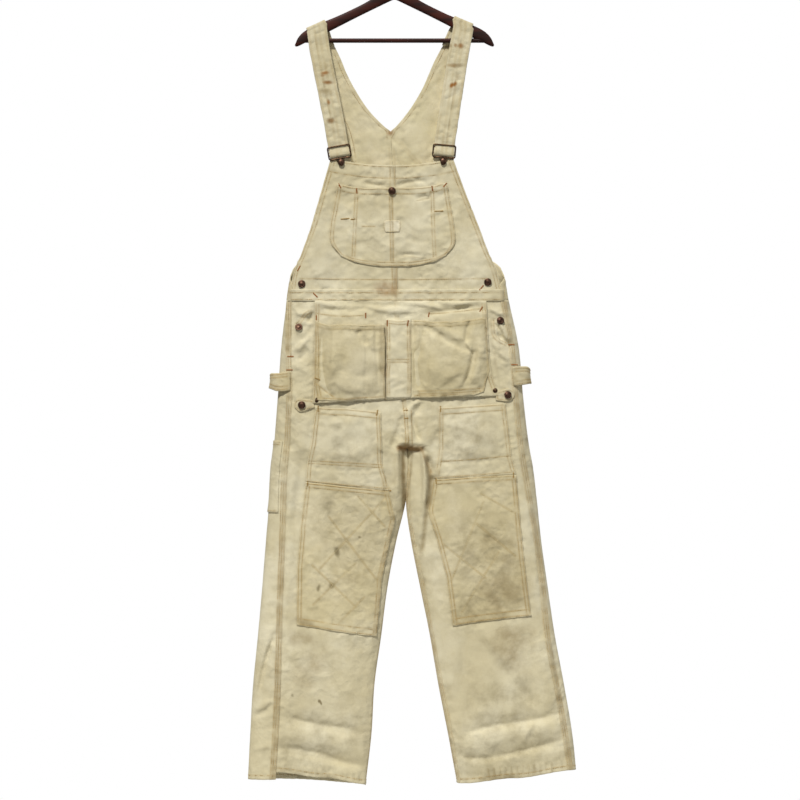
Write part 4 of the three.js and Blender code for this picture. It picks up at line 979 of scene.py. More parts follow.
lay("knee_patch_right", """
83.7 -1117, 170 -1111, 253.7 -1106.5 |
122 -1422, 200 -1411, 285 -1401 |
83.7 -1117, 70 -1182, 88 -1241, 108.5 -1319, 122 -1422 |
253.7 -1106.5, 261 -1189, 270 -1280, 285 -1401
""", 3, lambda x, z: LAY + CLOTH + 0.2, turned=turned)
print(len(cloths), "pieces of cloth so far")

# %% [markdown]
# The pocket for a folding rule is sewn on the back of the left leg. Its forward edge is caught in
# the outseam, so it is taken straight from the back panel's own grid and moved out by one layer.

# %% Rule pocket
rule_rows = (BACK_LEVELS < -1036) & (BACK_LEVELS > -1186)
RULE_COLUMNS = slice(4, 38)
rule_points = (back_left.points + back_left.normals() * (LAY + CLOTH))[rule_rows, RULE_COLUMNS]
rule_pocket = keep(Cloth("rule_pocket", rule_points, FACING_BACK))
raise_edges(rule_pocket, ["top", "bottom", "end"], 0.5, 9)
print(len(cloths), "pieces of cloth laid out")

# %% [markdown]
# The straps are bands that leave the arms of the back, fold over the hanger and come down to the
# buckles. There each goes over the buckle's bar and hangs on a little way behind the top of the bib.
# Where the band folds over the arm, its rows stay level with the hanger's slope.

# %% Straps
HANGER_UPPER = numbers("""
0 -73, 14 -76, 32 -95, 57 -114.5, 106 -139, 147 -156.5, 172 -167.5, 190 -177.5, 202 -190, 209 -205
""")
HALF_WOOD = 6
STRAP_WIDTH = 41
STRAP_CLOTH = 2.4
STRAP_ROWS = 260
BUCKLE = dict(half_width=23.3, top=12.5, bottom=-13.5, bar=-5.5, wire=1.5, top_y=-18.5, bottom_y=-15.3)
BAR_WIRE = 1.4
STUD_BELOW = 22
BUCKLES = {"left": (-115.5, -432, 10), "right": (104, -430, -5)}  # x, z and tilt in degrees
STRAPS = {  # x on the hanger's arm, x where the back's arm ends, and the way down in front
    "left": (-165, -149, "-162 -178, -157.5 -210, -151 -245, -142 -290, -133 -335, -125 -375"),
    "right": (145, 122.5, "144 -172, 137 -210, 131 -245, 124 -290, 117 -335, 111 -375"),
}
UPPER_EDGE = curve(HANGER_UPPER, 400, smooth=True)


def arm_top(x):
    return np.interp(abs(x), UPPER_EDGE[:, 0], UPPER_EDGE[:, 1])


def buckle_depth(w):
    """y at a height w on the buckle, which leans forward at its top."""
    rise = (w - BUCKLE["bottom"]) / (BUCKLE["top"] - BUCKLE["bottom"])
    return BUCKLE["bottom_y"] + (BUCKLE["top_y"] - BUCKLE["bottom_y"]) * rise


def on_buckle(place, u, w, y):
    """A point of a buckle's own upright u, w in the garment's frame."""
    x, z, tilt = place
    c, s = math.cos(math.radians(tilt)), math.sin(math.radians(tilt))
    return np.array([x + u * c - w * s, y, z + u * s + w * c])


def strap_path(arm_x, start_x, front, place):
    """Rows of x, y, z and the tilt of the line across, from the back's arm to the strap's end."""
    reach = HALF_WOOD + 0.5 + STRAP_CLOTH / 2
    slope = math.atan2(arm_top(arm_x + 15) - arm_top(arm_x - 15), 30)
    lean = math.degrees(slope)
    up = (-math.sin(slope), math.cos(slope))
    centre = (arm_x - up[0] * HALF_WOOD, arm_top(arm_x) - up[1] * HALF_WOOD)
    low = (centre[0] - up[0] * 12, centre[1] - up[1] * 12)
    path = [[start_x, reach, -204.4, 0]]
    path.append([(start_x + low[0]) / 2, reach, (-205 + low[1]) / 2, lean / 2])
    path.append([low[0], reach, low[1], lean * 0.9])
    for degrees in np.linspace(0, 180, 25):
        a = math.radians(degrees)
        rise, across = reach * math.sqrt(abs(math.sin(a))), math.cos(a)
        y = reach * math.copysign(math.sqrt(abs(across)), across)
        path.append([centre[0] + up[0] * rise, y, centre[1] + up[1] * rise, lean])
    down = numbers(front)
    for i, (x, z) in enumerate(down):
        share = (i + 1) / len(down)
        y = -reach - (15 - reach) * float(ease(0, 1.2, share))
        path.append([x, y, z, lean + (place[2] - lean) * math.sqrt(share)])
    bar = BUCKLE["bar"]
    over = buckle_depth(bar) - (BAR_WIRE + 0.4 + STRAP_CLOTH / 2)  # in front of the bar
    # heights and depths on the buckle: down to its bar, over it, and on behind the bib's top
    to_bar = [(24, -14.9), (13, -15.4), (4.5, -17.2), (-1.5, over + 0.25), (bar, over)]
    behind_bib = [(-10.4, -14.4), (-13, -12.2), (-17, -10.4), (-22, -9.6), (-29, -9.3)]
    for w, y in to_bar + [(bar - 2.6, over + 0.9)] + behind_bib:
        path.append([*on_buckle(place, 0, w, y), place[2]])
    return np.array(path)


def strap_cloth(side):
    path = curve(strap_path(*STRAPS[side], BUCKLES[side]), STRAP_ROWS, smooth=True)
    along = unit(np.gradient(path[:, :3], axis=0))
    tilt = np.radians(path[:, 3])
    across = np.stack([np.cos(tilt), 0 * tilt, np.sin(tilt)], 1)
    slant = (across * along).sum(1, keepdims=True)
    across = across / np.sqrt(1 - np.clip(slant, -0.35, 0.35) ** 2)
    out = unit(np.cross(across, along))
    shares = np.linspace(-0.5, 0.5, 15)
    middle = path[:, None, :3] + out[:, None] * STRAP_CLOTH / 2
    points = middle + across[:, None] * (shares * STRAP_WIDTH)[None, :, None]
    cloth = Cloth("strap_" + side, points, (0, 0, 0), STRAP_CLOTH)
    facing = (cloth.normals() * out[:, None]).sum(-1).mean()
    cloth.sign = 1 if facing > 0 else -1
    row = np.arange(STRAP_ROWS)[:, None]
    wave = 0.35 * np.sin(row / 9.0) * (shares[None, :] * 2) ** 2
    cloth.move_out(wave * (row < 190))  # the edges wave a little, but not where the buckle holds them
    return keep(cloth)


for side in BUCKLES:
    strap = strap_cloth(side)
    print("strap of", round(float(strap.along(0)[-1, 7])), "mm on the", side)

# %% [markdown]
# A hammer loop is a doubled band sewn at the outseam and again on the back. It stands off the hip
# between the two, so that a handle slips through it.

# %% Hammer loops
LOOP_HEIGHT = 38
LOOP_STAND_OFF = 18
LOOP_COLUMNS = 54


def hammer_loop(side, bottom):
    points = []
    share = np.linspace(0, 1, LOOP_COLUMNS)
    bow = np.sin(math.pi * share)
    for z in np.linspace(bottom + LOOP_HEIGHT, bottom, 15):
        fold = float(column(BODY, side.name, z))
        front = lambda x: float(skin_y(side, FRONT, np.array([x]), np.array([z]))[0]) - 2.2
        back = lambda x: float(skin_y(side, BACK, np.array([x]), np.array([z]))[0]) + 0.9
        start, end = float(column(BODY, side.seam, z)) - side.sign * 2, fold - side.sign * 62
        level = (z - bottom) / LOOP_HEIGHT
        middle = 1.2 * math.sin(level * math.pi)
        plan = [  # x and y, from the outseam round the side fold to the back
            (start, front(start)),
            (fold - side.sign * 8, front(start) + 1),
            (fold + side.sign * (LOOP_STAND_OFF * 0.6 - middle), -13),
            (fold + side.sign * (LOOP_STAND_OFF - middle), 1),
            (fold + side.sign * LOOP_STAND_OFF * 0.55, 15),
            (fold - side.sign * 12, back(end) - 3),
            (fold - side.sign * 38, back(fold - side.sign * 38) + 0.6),
            (end, back(end)),
        ]
        smooth = curve(plan, LOOP_COLUMNS, smooth=True)
        sag = 3.5 * bow**2 * (level - 0.3) + 1.2 * np.sin(share * 17 + side.sign)
        smooth[:, 1] += 1.6 * np.sin(share * 9 + level * 4) * bow
        half = LOOP_HEIGHT / 2
        narrowed = bottom + half + (z - bottom - half) * (1 - 0.24 * bow**4)
        points.append(np.column_stack([smooth, narrowed - sag]))
    cloth = Cloth("hammer_loop_" + side.name, np.array(points), (side.sign, 0, 0), DOUBLE)
    cloth.move_out(DOUBLE - 0.2)
    return keep(cloth)


for side, bottom in ((LEFT, -931), (RIGHT, -919)):
    loop = hammer_loop(side, bottom)
    print("band of", round(float(loop.along(1)[7, -1])), "mm for the hammer loop on the", side.name)

# %% [markdown]
# Sewing pulls cloth together, so the cloth puckers beside every row of stitches. The rows are listed
# first. Each line names a group and its pieces, then every edge that rows follow and how far in they
# run. After a stroke comes how much is left out at the two ends, and whether they lie on the inside.

# %% Rows of stitches along edges
SEWN = """
legs: back_left back_right: start 1.7 6.5 11.4 / 2 3
legs: back_right: end 1.7 6.5 11.4 / 360 3
seat: back_right: end 1.7 6.5 11.4 / 2 800
legs: front_left: end 1.8 11.2 / 400 3, end 1.8 7 / 2 730
legs: front_left front_right back_left back_right: bottom 8.5 / 2 2, bottom 8.5 / 2 2 / inside
bib: bib_left bib_right: start 3 9.5, top 3 27
bib: bib_left: end 1.8 11.2
back: back_yoke_left: start 2.5 10.5, start 10.5 / 4 300 / inside, end 8 / 4 340 / inside, end 2.4 8 / 4 340
back: back_yoke_right: start 2.5 10.5, start 10.5 / 4 300 / inside, end 8 / 4 340 / inside, end 2.4 8 / 4 340
back: back_yoke_right: end 1.8 11.4 / 250 3
bib: waistband: top 7, bottom 3
bib: bib_pocket: start 2.2 8.2, end 2.2 8.2, bottom 2.2 8.2, top 2.4 12.5 / 9 9
label: label_blank: start 1.2 / 1 1, end 1.2 / 1 1, top 1.2 / 1 1, bottom 1.2 / 1 1
apron: apron: start 2.5 8.5, end 2.5 9
apron: apron_bag_left: start 2.2 8.2
faint: apron_bag_left apron_bag_right: end 2.2
faint: apron_bag_left apron_bag_right: top 2.2 9
apron: apron_bag_left apron_bag_right: bottom 4
apron: apron_tool_slot: start 2 6.5, end 2 6.5, top 2.4 8
apron: apron_tab_left apron_tab_right: top 2.6 / 1 1, bottom 2.6 / 1 1, start 2.6 / 1 1
pockets: thigh_pocket_left thigh_pocket_right: start 2.4 8.4, end 2.4 8.4, top 2.6 13.5
pockets: knee_patch_left knee_patch_right: start 2.6 9, end 2.6 9, top 2.4 9.5, bottom 2.8 14
pockets: rule_pocket: top 2.6 8, bottom 3, end 2.6 8.4
straps: strap_left strap_right: start 3 16, end 3 16
straps: hammer_loop_left hammer_loop_right: top 3 9, bottom 3 9
"""
TRIM = "4 4"  # left out at the two ends where the table says nothing else
rows_of = {}
for row in SEWN.strip().splitlines():
    group, pieces, lines = row.split(":")
    for name in pieces.split():
        for line in lines.split(","):
            place, *rest = line.split("/")
            edge, *insets = place.split()
            trim = numbers(rest[0] if rest else TRIM)[0]
            for inset in insets:
                found = cloths[name].line(edge, float(inset), trim, inside=len(rest) > 1)
                rows_of.setdefault("stitching_" + group, []).append(found)
print("rows along edges:", {group: len(rows) for group, rows in rows_of.items()})

# %% [markdown]
# Other rows cross the cloth: the pockets' inner seams, the doubled tops, the fly and the faint darns on
# the knees. Each is given as its group, how many rows run side by side, and the x and z of its points.
# A ray from the front finds the cloth below each point. Bar tacks are short thick bars of thread where
# a pocket's corner is held.

# %% Rows across the cloth
ROW_GAP = 5.5
CROSSING_ROWS = """
bib 1: -198 -697, -5 -699, 201 -697
bib 2: -79 -514, -83 -590, -86 -653
bib 2: 79 -512, 81 -590, 84 -653
bib 2: -8 -514, -6 -590, -5 -664
bib 1: -68 -588, -40 -588
pockets 2: -186 -1122, -100 -1131, -9 -1138.5
pockets 2: 83 -1116, 167 -1110, 252 -1103
pockets 2: -180 -1080, -104 -1084, -24 -1089
pockets 1: 95 -1079, 169 -1074, 240 -1067
faint 1: -138 -1193, -36 -1328
faint 1: -77 -1150, -20 -1215
faint 1: -172 -1295, -81 -1382
faint 1: -20 -1156, -156 -1303
faint 1: -81 -1291, -170 -1378
faint 1: -63 -1362, -121 -1421
faint 1: 172 -1209, 252 -1276
faint 1: 100 -1250, 190 -1322
faint 1: 180 -1146, 247 -1184
faint 1: 186 -1161, 120 -1325
faint 1: 217 -1268, 140 -1394
apron 1: -163 -770, -114 -776, -62 -774
apron 1: 72 -771, 117 -768, 182 -760
apron 2: -15 -869, 32 -869
apron 1: -163 -917, -125 -946
apron 2: 50 -935, 117 -933, 180 -929
legs 2: -173 -765, -186 -772, -200 -790, -207 -793
legs 2: 204 -782, 209 -818, 234 -835
legs 2: 22 -966, 25 -1005, 26 -1044
legs 1: 35 -972, 36 -1010, 37 -1045
back 2: -4 -392, 24 -424, 54 -456
"""
# x, z, direction in degrees, length, and 1 where the thread is rust red
TACKS = numbers("""
-114.5 -503 -60 11 1, -79 -513 95 11 1, 79 -508 100 11 1, 106 -501 50 11 1, -103 -572 5 18 0
-86 -573 5 10 0, 93 -556 3 18 0, -165 -732 -45 12 1, 182 -716 50 13 1, -200 -675 60 12 1, -217 -860 0 13 1
-219 -888 0 13 1, 245 -835 0 13 1, 251 -877 0 13 1, -163 -779 90 11 1, -60 -774 90 11 1, 28 -790 80 12 1
-15 -790 90 12 1, 181 -761 60 12 1, -36 -977 80 12 0, 96 -969 90 12 0, -159 -969 90 12 0, -181 -1124 90 11 0
-14 -1140 0 16 0, 87 -1119 90 11 0, 248 -1107 90 11 0, -160 -907 -20 12 0, 72 -772 80 10 1, 24 -972 5 10 0
25 -989 5 8 0, -9 -392 0 14 1
""")


def surface_tree():
    """One search tree for rays over the outer faces of all the cloth."""
    points, faces, first = [], [], 0
    for cloth in cloths.values():
        points.append(cloth.points.reshape(-1, 3))
        faces.append(cloth.quads(first))
        first += len(points[-1])
    return BVHTree.FromPolygons(np.concatenate(points).tolist(), np.concatenate(faces).tolist())


def drop(tree, x, z):
    """Where a ray from the front meets the outermost cloth, and the way it faces, or None."""
    point, normal, _, _ = tree.ray_cast(Vector((x, -200, z)), Vector((0, 1, 0)))
    if point is None:
        return None
    return np.array(point), np.array(-normal if normal.y > 0 else normal)


def crossing_row(tree, corners, offset):
    line = curve(corners, 200, smooth=len(corners) > 2)
    run = unit(np.gradient(line, axis=0))
    line = line + np.stack([-run[:, 1], run[:, 0]], 1) * offset
    hits = [hit for hit in (drop(tree, x, z) for x, z in line) if hit is not None]
    return np.array([h[0] for h in hits]), np.array([h[1] for h in hits])


tree = surface_tree()
for line in CROSSING_ROWS.strip().splitlines():
    kind, corners = line.split(":")
    group, count = kind.split()
    for i in range(int(count)):
        offset = (i - (int(count) - 1) / 2) * ROW_GAP
        rows_of["stitching_" + group].append(crossing_row(tree, numbers(corners), offset))
print("stitch rows:", {group: len(rows) for group, rows in rows_of.items()})

# %% [markdown]
# A search tree of all the rows' points tells each point of cloth how near the next row is, for the
# puckers and later for the dirt along a seam. Some edges were also gathered a little as they were
# turned and sewn, which leaves a band of small tucks.

# %% Puckers and tucks
NEAR_SEAM = 22
PUCKER = 3.4  # how far from a row the small puckers are highest, and the wide ones
WIDE_PUCKER = 8
GATHERED = [  # piece, edge, middle and reach of the band, pitch and height of its tucks
    ("bib_left", "top", 15, 13, 19, 0.7),
    ("bib_right", "top", 15, 13, 17, 0.7),
    ("front_left", "bottom", 10, 12, 13, 1.1),
    ("back_left", "bottom", 8, 11, 15, 1.9),
    ("front_right", "bottom", 10, 12, 14, 1.1),
    ("back_right", "bottom", 8, 11, 15, 0.7),
    ("waistband", "bottom", 10, 12, 21, 0.5),
    ("apron", "bottom", 12, 12, 16, 0.6),
]
stitched = [curve(points, max(len(points), 2)) for rows in rows_of.values() for points, _ in rows]
stitched = np.concatenate(stitched)
seam_tree = KDTree(len(stitched))
for i, point in enumerate(stitched):
    seam_tree.insert(point, i)
seam_tree.balance()
seam_distance = {}
for cloth in cloths.values():
    found = np.array([min(seam_tree.find(p)[2], NEAR_SEAM) for p in cloth.points.reshape(-1, 3)])
    near = seam_distance[cloth.name] = found.reshape(cloth.points.shape[:2])
    x, z = cloth.points[..., 0], cloth.points[..., 2] + 0.4 * cloth.points[..., 1]
    pull = (near / PUCKER) * np.exp(1 - near / PUCKER)
    wide = (near / WIDE_PUCKER) * np.exp(1 - near / WIDE_PUCKER) * (near < NEAR_SEAM - 0.1)
    ridges = 1 - 2 * np.abs(swell(x + 200, z, 13))
    facing = np.clip(2 * np.abs(cloth.normals()[..., 1]) - 0.6, 0, 1)
    tucks = np.zeros(near.shape)
    for name, edge, middle, reach, pitch, size in GATHERED:
        if name == cloth.name:
            band = np.exp(-(((cloth.from_edge(edge) - middle) / reach) ** 4))
            waves = np.sin(2 * math.pi * x / pitch + 3 * swell(x, z, 60))
            tucks = tucks + size * band * waves * (0.6 + 0.4 * swell(x, z, 40))
    cloth.move_out(facing * (1.0 * pull * swell(x, z, 8.0) + 0.9 * wide * ridges + tucks))
print(len(stitched), "points of stitching pull at the cloth")

# %% [markdown]
# Real thread sits in the cloth as short rounded stitches with a little cloth between them. Each one
# here is a small capsule along its row. The thread is drawn about twice as thick as real topstitching
# thread, which is half a millimetre, because one photograph pixel covers two millimetres of cloth.

# %% Stitches
PITCH = 3.8
STITCH = 3.1
THREAD_WIDTH = 1.0
THREAD_HEIGHT = 0.62
TACK_PITCH = 1.25
TACK_STITCH = (3.4, 1.25, 0.85)  # length, width and height of each turn of thread in a bar tack
jitter = np.random.default_rng(5)


def capsules(centres, directions, normals, length, width, height):
    """Points and faces of rounded stitches, ten points each."""
    sides = unit(np.cross(directions, normals))
    stations = []
    for along, tip in ((-0.5, True), (-0.28, False), (0.28, False), (0.5, True)):
        place = centres + directions * length * along
        if tip:
            stations.append(place - normals * 0.12)
            continue
        for side, up in ((-0.5, 0.1), (0, 1), (0.5, 0.1), (0, -0.35)):
            stations.append(place + sides * width * side + normals * height * up)
    points = np.stack(stations, 1).reshape(-1, 3)
    faces = []
    for k in range(4):
        n = (k + 1) % 4
        faces += [(0, 1 + n, 1 + k), (9, 5 + k, 5 + n), (1 + k, 1 + n, 5 + n), (1 + k, 5 + n, 5 + k)]
    first = np.arange(len(centres))[:, None, None] * 10
    return points, (np.array(faces)[None] + first).reshape(-1, 3)


def along_row(points, normals, pitch):
    """The centres, headings and normals of a row's stitches, or None where the row is too short."""
    run = run_along(points)
    count = int((run[-1] - 1) / pitch)
    if count < 1:
        return None
    at = (np.arange(count) + 0.5) * pitch + jitter.uniform(-0.15, 0.15, count) + 0.5
    heading = unit(at_run(at + 1.2, run, points) - at_run(at - 1.2, run, points))
    return at_run(at, run, points), heading, unit(at_run(at, run, normals))


def merge(parts):
    points, faces, first = [], [], 0
    for part_points, part_faces in parts:
        points.append(part_points)
        faces.append(part_faces + first)
        first += len(part_points)
    return np.concatenate(points), np.concatenate(faces)


stitch_meshes = {}
for group, rows in rows_of.items():
    laid = [along_row(points, normals, PITCH) for points, normals in rows]
    stitch_meshes[group] = merge(capsules(*row, STITCH, THREAD_WIDTH, THREAD_HEIGHT) for row in laid if row)
tree = surface_tree()
for name, wanted in (("bar_tacks", 0), ("rust_tacks", 1)):
    parts = []
    for x, z, degrees, length, rusty in TACKS:
        a = math.radians(degrees)
        ahead = np.array([math.cos(a), 0, math.sin(a)])
        for step in np.arange(-length / 2, length / 2, TACK_PITCH) if rusty == wanted else ():
            hit = drop(tree, x + step * ahead[0], z + step * ahead[2])
            if hit is not None:
                point, normal = hit
                spin = np.cross(normal, ahead)
                spin /= np.linalg.norm(spin)
                parts.append(capsules(point[None] + normal * 0.15, spin[None], normal[None], *TACK_STITCH))
    stitch_meshes[name] = merge(parts)
print("triangles of thread:", {name: len(faces) for name, (_, faces) in stitch_meshes.items()})

# %% [markdown]
# The cloth is cotton duck: a plain weave of heavy unbleached cotton, worn pale and soft, matt all
# over. Years of work have left grey grime, brown stains where the knees and pockets were handled, and
# rust that ran from the hardware. Some streaks in the same colours are painted shade: a shadow under
# the fly's lower edge, the gutters between the legs, the left bag's raised edge, a few creases, the
# gaps between the right hem's gathers, and in part the outseams. A few broad grey ovals make the
# thighs, the right shin and the hems darker. Each mark is an oval or a streak, which the noise in the
# material then breaks up, so no edge of it is an oval.

# %% Where the cloth is stained, and where shade is painted
# x, z, half width, half height, slant in degrees, and how grey, brown and rusty in hundredths
# The broad ovals from 150 -1030 to 235 -1695 make the thighs, the right shin and the hems darker as a whole.
STAINS = numbers("""
-120 -1268 6.5 12 10 130 30 0, -158.6 -1343 4 9 -15 120 50 0, -131 -1337 7 7 0 70 50 0
-73 -1237 3 3 0 80 80 0, -157 -1580 3.6 4 0 160 70 0, -153.6 -1584 2.6 5 20 150 70 0
-155 -1591 11 11 0 0 30 15, -213 -1568 3 3.5 0 90 0 0, -49 -892 26 30 0 30 20 0
-140 -1169 16 24 -20 66 10 0, -120 -1240 44 60 0 26 20 0, -100 -1310 60 50 20 24 24 0
-60 -1180 30 30 0 20 10 0, -122 -1007 14 9 0 62 0 0, -112 -1043 26 18 -20 55 0 0, -83 -806 6 5 0 50 0 0
-129 -919 8 5 0 45 10 0, -146 -871 6 7 0 45 0 0, -70 -930 60 16 0 30 10 0, 218 -1275 54 96 8 36 36 0
226 -1350 56 56 8 36 56 0, 150 -1260 60 90 0 32 20 0, 160 -1385 56 40 0 40 34 0, 240 -1455 56 36 0 6 62 5
246 -1488 36 36 0 4 58 0, 286 -1436 18 20 0 10 40 0, -196 -1450 26 20 0 8 62 0, -176 -1505 34 52 -20 6 55 0
-191 -1413 22 10 -15 10 70 15, 1 -704 6.5 40 0 0 62 45, -18 -718 26 19 0 0 30 60
-146 -266 10 4.6 8 20 30 110, -146 -252 11 8 0 10 50 0, -150 -271 6 4 0 20 30 80
-139 -286 11 4.4 -5 20 40 100, -143 -306 17 8 -10 15 75 10, -138 -327 4 6.4 20 30 30 110
-133 -366 9 7 0 30 90 75, -130 -385 12 8 0 10 40 0, 139 -209 6.4 6 0 20 50 90, 128 -208 4 4.6 0 20 50 80
112 -209 9 7 0 40 60 30, 128 -250 22 5.4 0 25 85 40, 133 -272 9 8 0 10 65 10, 120 -292 3.8 6.4 -30 0 30 140
126 -290 3.6 6 -30 0 30 140, 122 -296 12 10 0 0 45 20, -214 -1039 16 9 0 50 30 0, 272 -1035 12 9 0 50 30 0
150 -1030 74 60 0 46 24 0, -100 -1060 80 50 0 26 20 0, 240 -1590 110 90 0 40 18 0
-160 -1675 130 90 0 42 8 0, 235 -1695 150 80 0 50 10 0, -9 -388 8 6 0 0 20 70, -27 -860 7 78 0 20 70 10
-196 -962 9 9 0 20 40 20, 238 -941 9 9 0 20 40 20, 110 -860 60 60 0 8 6 0, 150 -920 40 18 0 25 10 0
0 -1120 26 60 0 15 25 0, -250 -1000 16 60 0 12 30 0, 266 -1010 16 60 0 12 30 0, 30 -560 60 60 0 12 10 0
-40 -640 50 20 0 16 10 0, -240 -1690 30 40 0 12 20 0, 340 -1700 30 40 0 10 20 0
""")
BACK_STAINS = numbers("""
-120 -960 70 60 0 35 20 0, 140 -950 70 60 0 30 25 0, -60 -840 40 50 0 20 10 0, -200 -1680 60 40 0 25 20 0
250 -1690 60 40 0 25 20 0, 60 -600 50 60 0 15 10 0, 210 -1180 20 30 20 10 50 10, -150 -1280 10 14 0 70 20 0
-9 -420 8 30 0 0 20 40
""")
# x and z of both ends, width, and how grey, brown and rusty in hundredths
# The first row of this line paints shade beside the left bag's raised right edge.
# The rows down to the one ending at 128 -1740 are painted shade: a shadow under the fly's lower edge, and
# the dark gutters between the two legs and down the right leg's inner fold.
# The rows from 47 -534, 71 -529 and 14 -650 paint shade into the bib pocket's creases, and the row from 52
# -800 into the fold beside the right bag.
STREAKS = numbers("""
12 -1051 56 -1054 8 30 120 75, 56 -1053 76 -1102 5 30 95 35, 38 -1060 31 -1125 4 35 80 10
31 -1125 24 -1165 4 30 70 0, 18 -1058 20 -1180 6 30 105 15, 20 -1160 8 -1215 6 10 30 0
66 -1070 76 -1116 7 30 95 10, 76 -1114 69 -1176 7 30 95 5, 68 -1170 58 -1262 6 20 70 0
54 -1255 66 -1371 7 10 35 0, 66 -1371 92 -1520 6 10 35 0, 92 -1520 128 -1740 6 10 35 0
-19 -792 -19 -950 4 45 70 20, -168 -958 215 -946 3 10 40 0, 190 -750 222 -940 5 10 30 0
-165 -748 -170 -950 5 10 25 0, -220 -732 228 -730 6 0 20 0, -2 -462 -2 -500 4.5 5 42 0
-6 -516 -4 -664 4 0 44 0, 47 -534 71 -529 2.4 20 90 20, 71 -529 76 -514 2.4 20 80 10
14 -650 66 -655 2.2 30 60 0, -160 -802 -30 -806 7 30 20 0, 50 -796 186 -792 7 30 20 0
52 -800 50 -930 6 15 15 0, 180 -1743 330 -1731 5 10 55 0, -236 -1722 -120 -1740 5 20 50 0
-166 -193 -131 -372 2.2 20 55 0, 142 -176 109 -411 2.2 20 50 0
""")
for x in range(196, 330, 12):  # painted shade between the gathers of the right hem
    rise = (x - 196) * 0.1
    STREAKS.append([x, -1722 + rise, x + 2, HEM_Z + 1.3 * rise, 3, 50, 60, 0])
for key in ("seamLeft", "seamRight"):  # brown along the outseams, browner below the thighs, and in part painted shadow of each felled seam's step
    for high, low in zip(range(-700, -1740, -80), range(-780, -1820, -80)):
        brown = 40 if high > -1180 else 62
        top, bottom = float(column(BODY, key, high)), float(column(BODY, key, low))
        STREAKS.append([top, high, bottom, max(low, HEM_Z), 7, 10, brown, 0])


def soil_and_shade_at(points, normals):
    """How much grey, brown and rust lies at each point, from stains and painted shade, where 1 is full."""
    soil = np.zeros(points.shape)
    x, z = points[..., 0], points[..., 2]
    front, back = normals[..., 1] < 0.2, normals[..., 1] > 0.2
    for x1, z1, x2, z2, width, *dirt in STREAKS:
        length = math.hypot(x2 - x1, z2 - z1)
        ux, uz = (x2 - x1) / length, (z2 - z1) / length
        past = (x - x1) * ux + (z - z1) * uz
        off = np.hypot((x - x1) * uz - (z - z1) * ux, past - np.clip(past, 0, length))
        amount = np.exp(-((off / width) ** 2)) * front
        soil = np.maximum(soil, amount[..., None] * (np.array(dirt) / 100))
    for stains, faces in ((STAINS, front), (BACK_STAINS, back)):
        for x0, z0, half_width, half_height, degrees, *dirt in stains:
            c, s = math.cos(math.radians(degrees)), math.sin(math.radians(degrees))
            u = ((x - x0) * c + (z - z0) * s) / half_width
            v = ((z - z0) * c - (x - x0) * s) / half_height
            amount = np.exp(-((u * u + v * v) ** 1.4)) * faces
            soil = np.maximum(soil, amount[..., None] * (np.array(dirt) / 100))
    return soil


print(len(STAINS + BACK_STAINS), "stains and", len(STREAKS), "streaks")

# %% [markdown]
# One recipe makes every finish of the duck. Its colour is a pale cream mixed with a lighter, washed
# cream and a greyer one by noises of several sizes. Dirt gathers beside the stitches, and the stains and
# the painted shade lie over it. The weave has a bump of its own, drawn at 1.6 mm instead of the real half
# millimetre so that it shows, and a wrinkle bump gives the small creases between the modelled ones.
# Cotton is matt, with a faint sheen from its nap.

# %% Cotton duck
YARN = 0.0016
# These three colours also tint the painted shade in the recesses, gutters and creases.
STAIN_AND_SHADE_COLOURS = ("#857A5C", "#92805A", "#96652F")  # grey grime, brown handling and rust
WRINKLES = ((33, 0.0046), (12, 0.0013))  # size in millimetres and height in metres
soft = {"interpolation_type": "SMOOTHSTEP"}
times = {"operation": "MULTIPLY"}


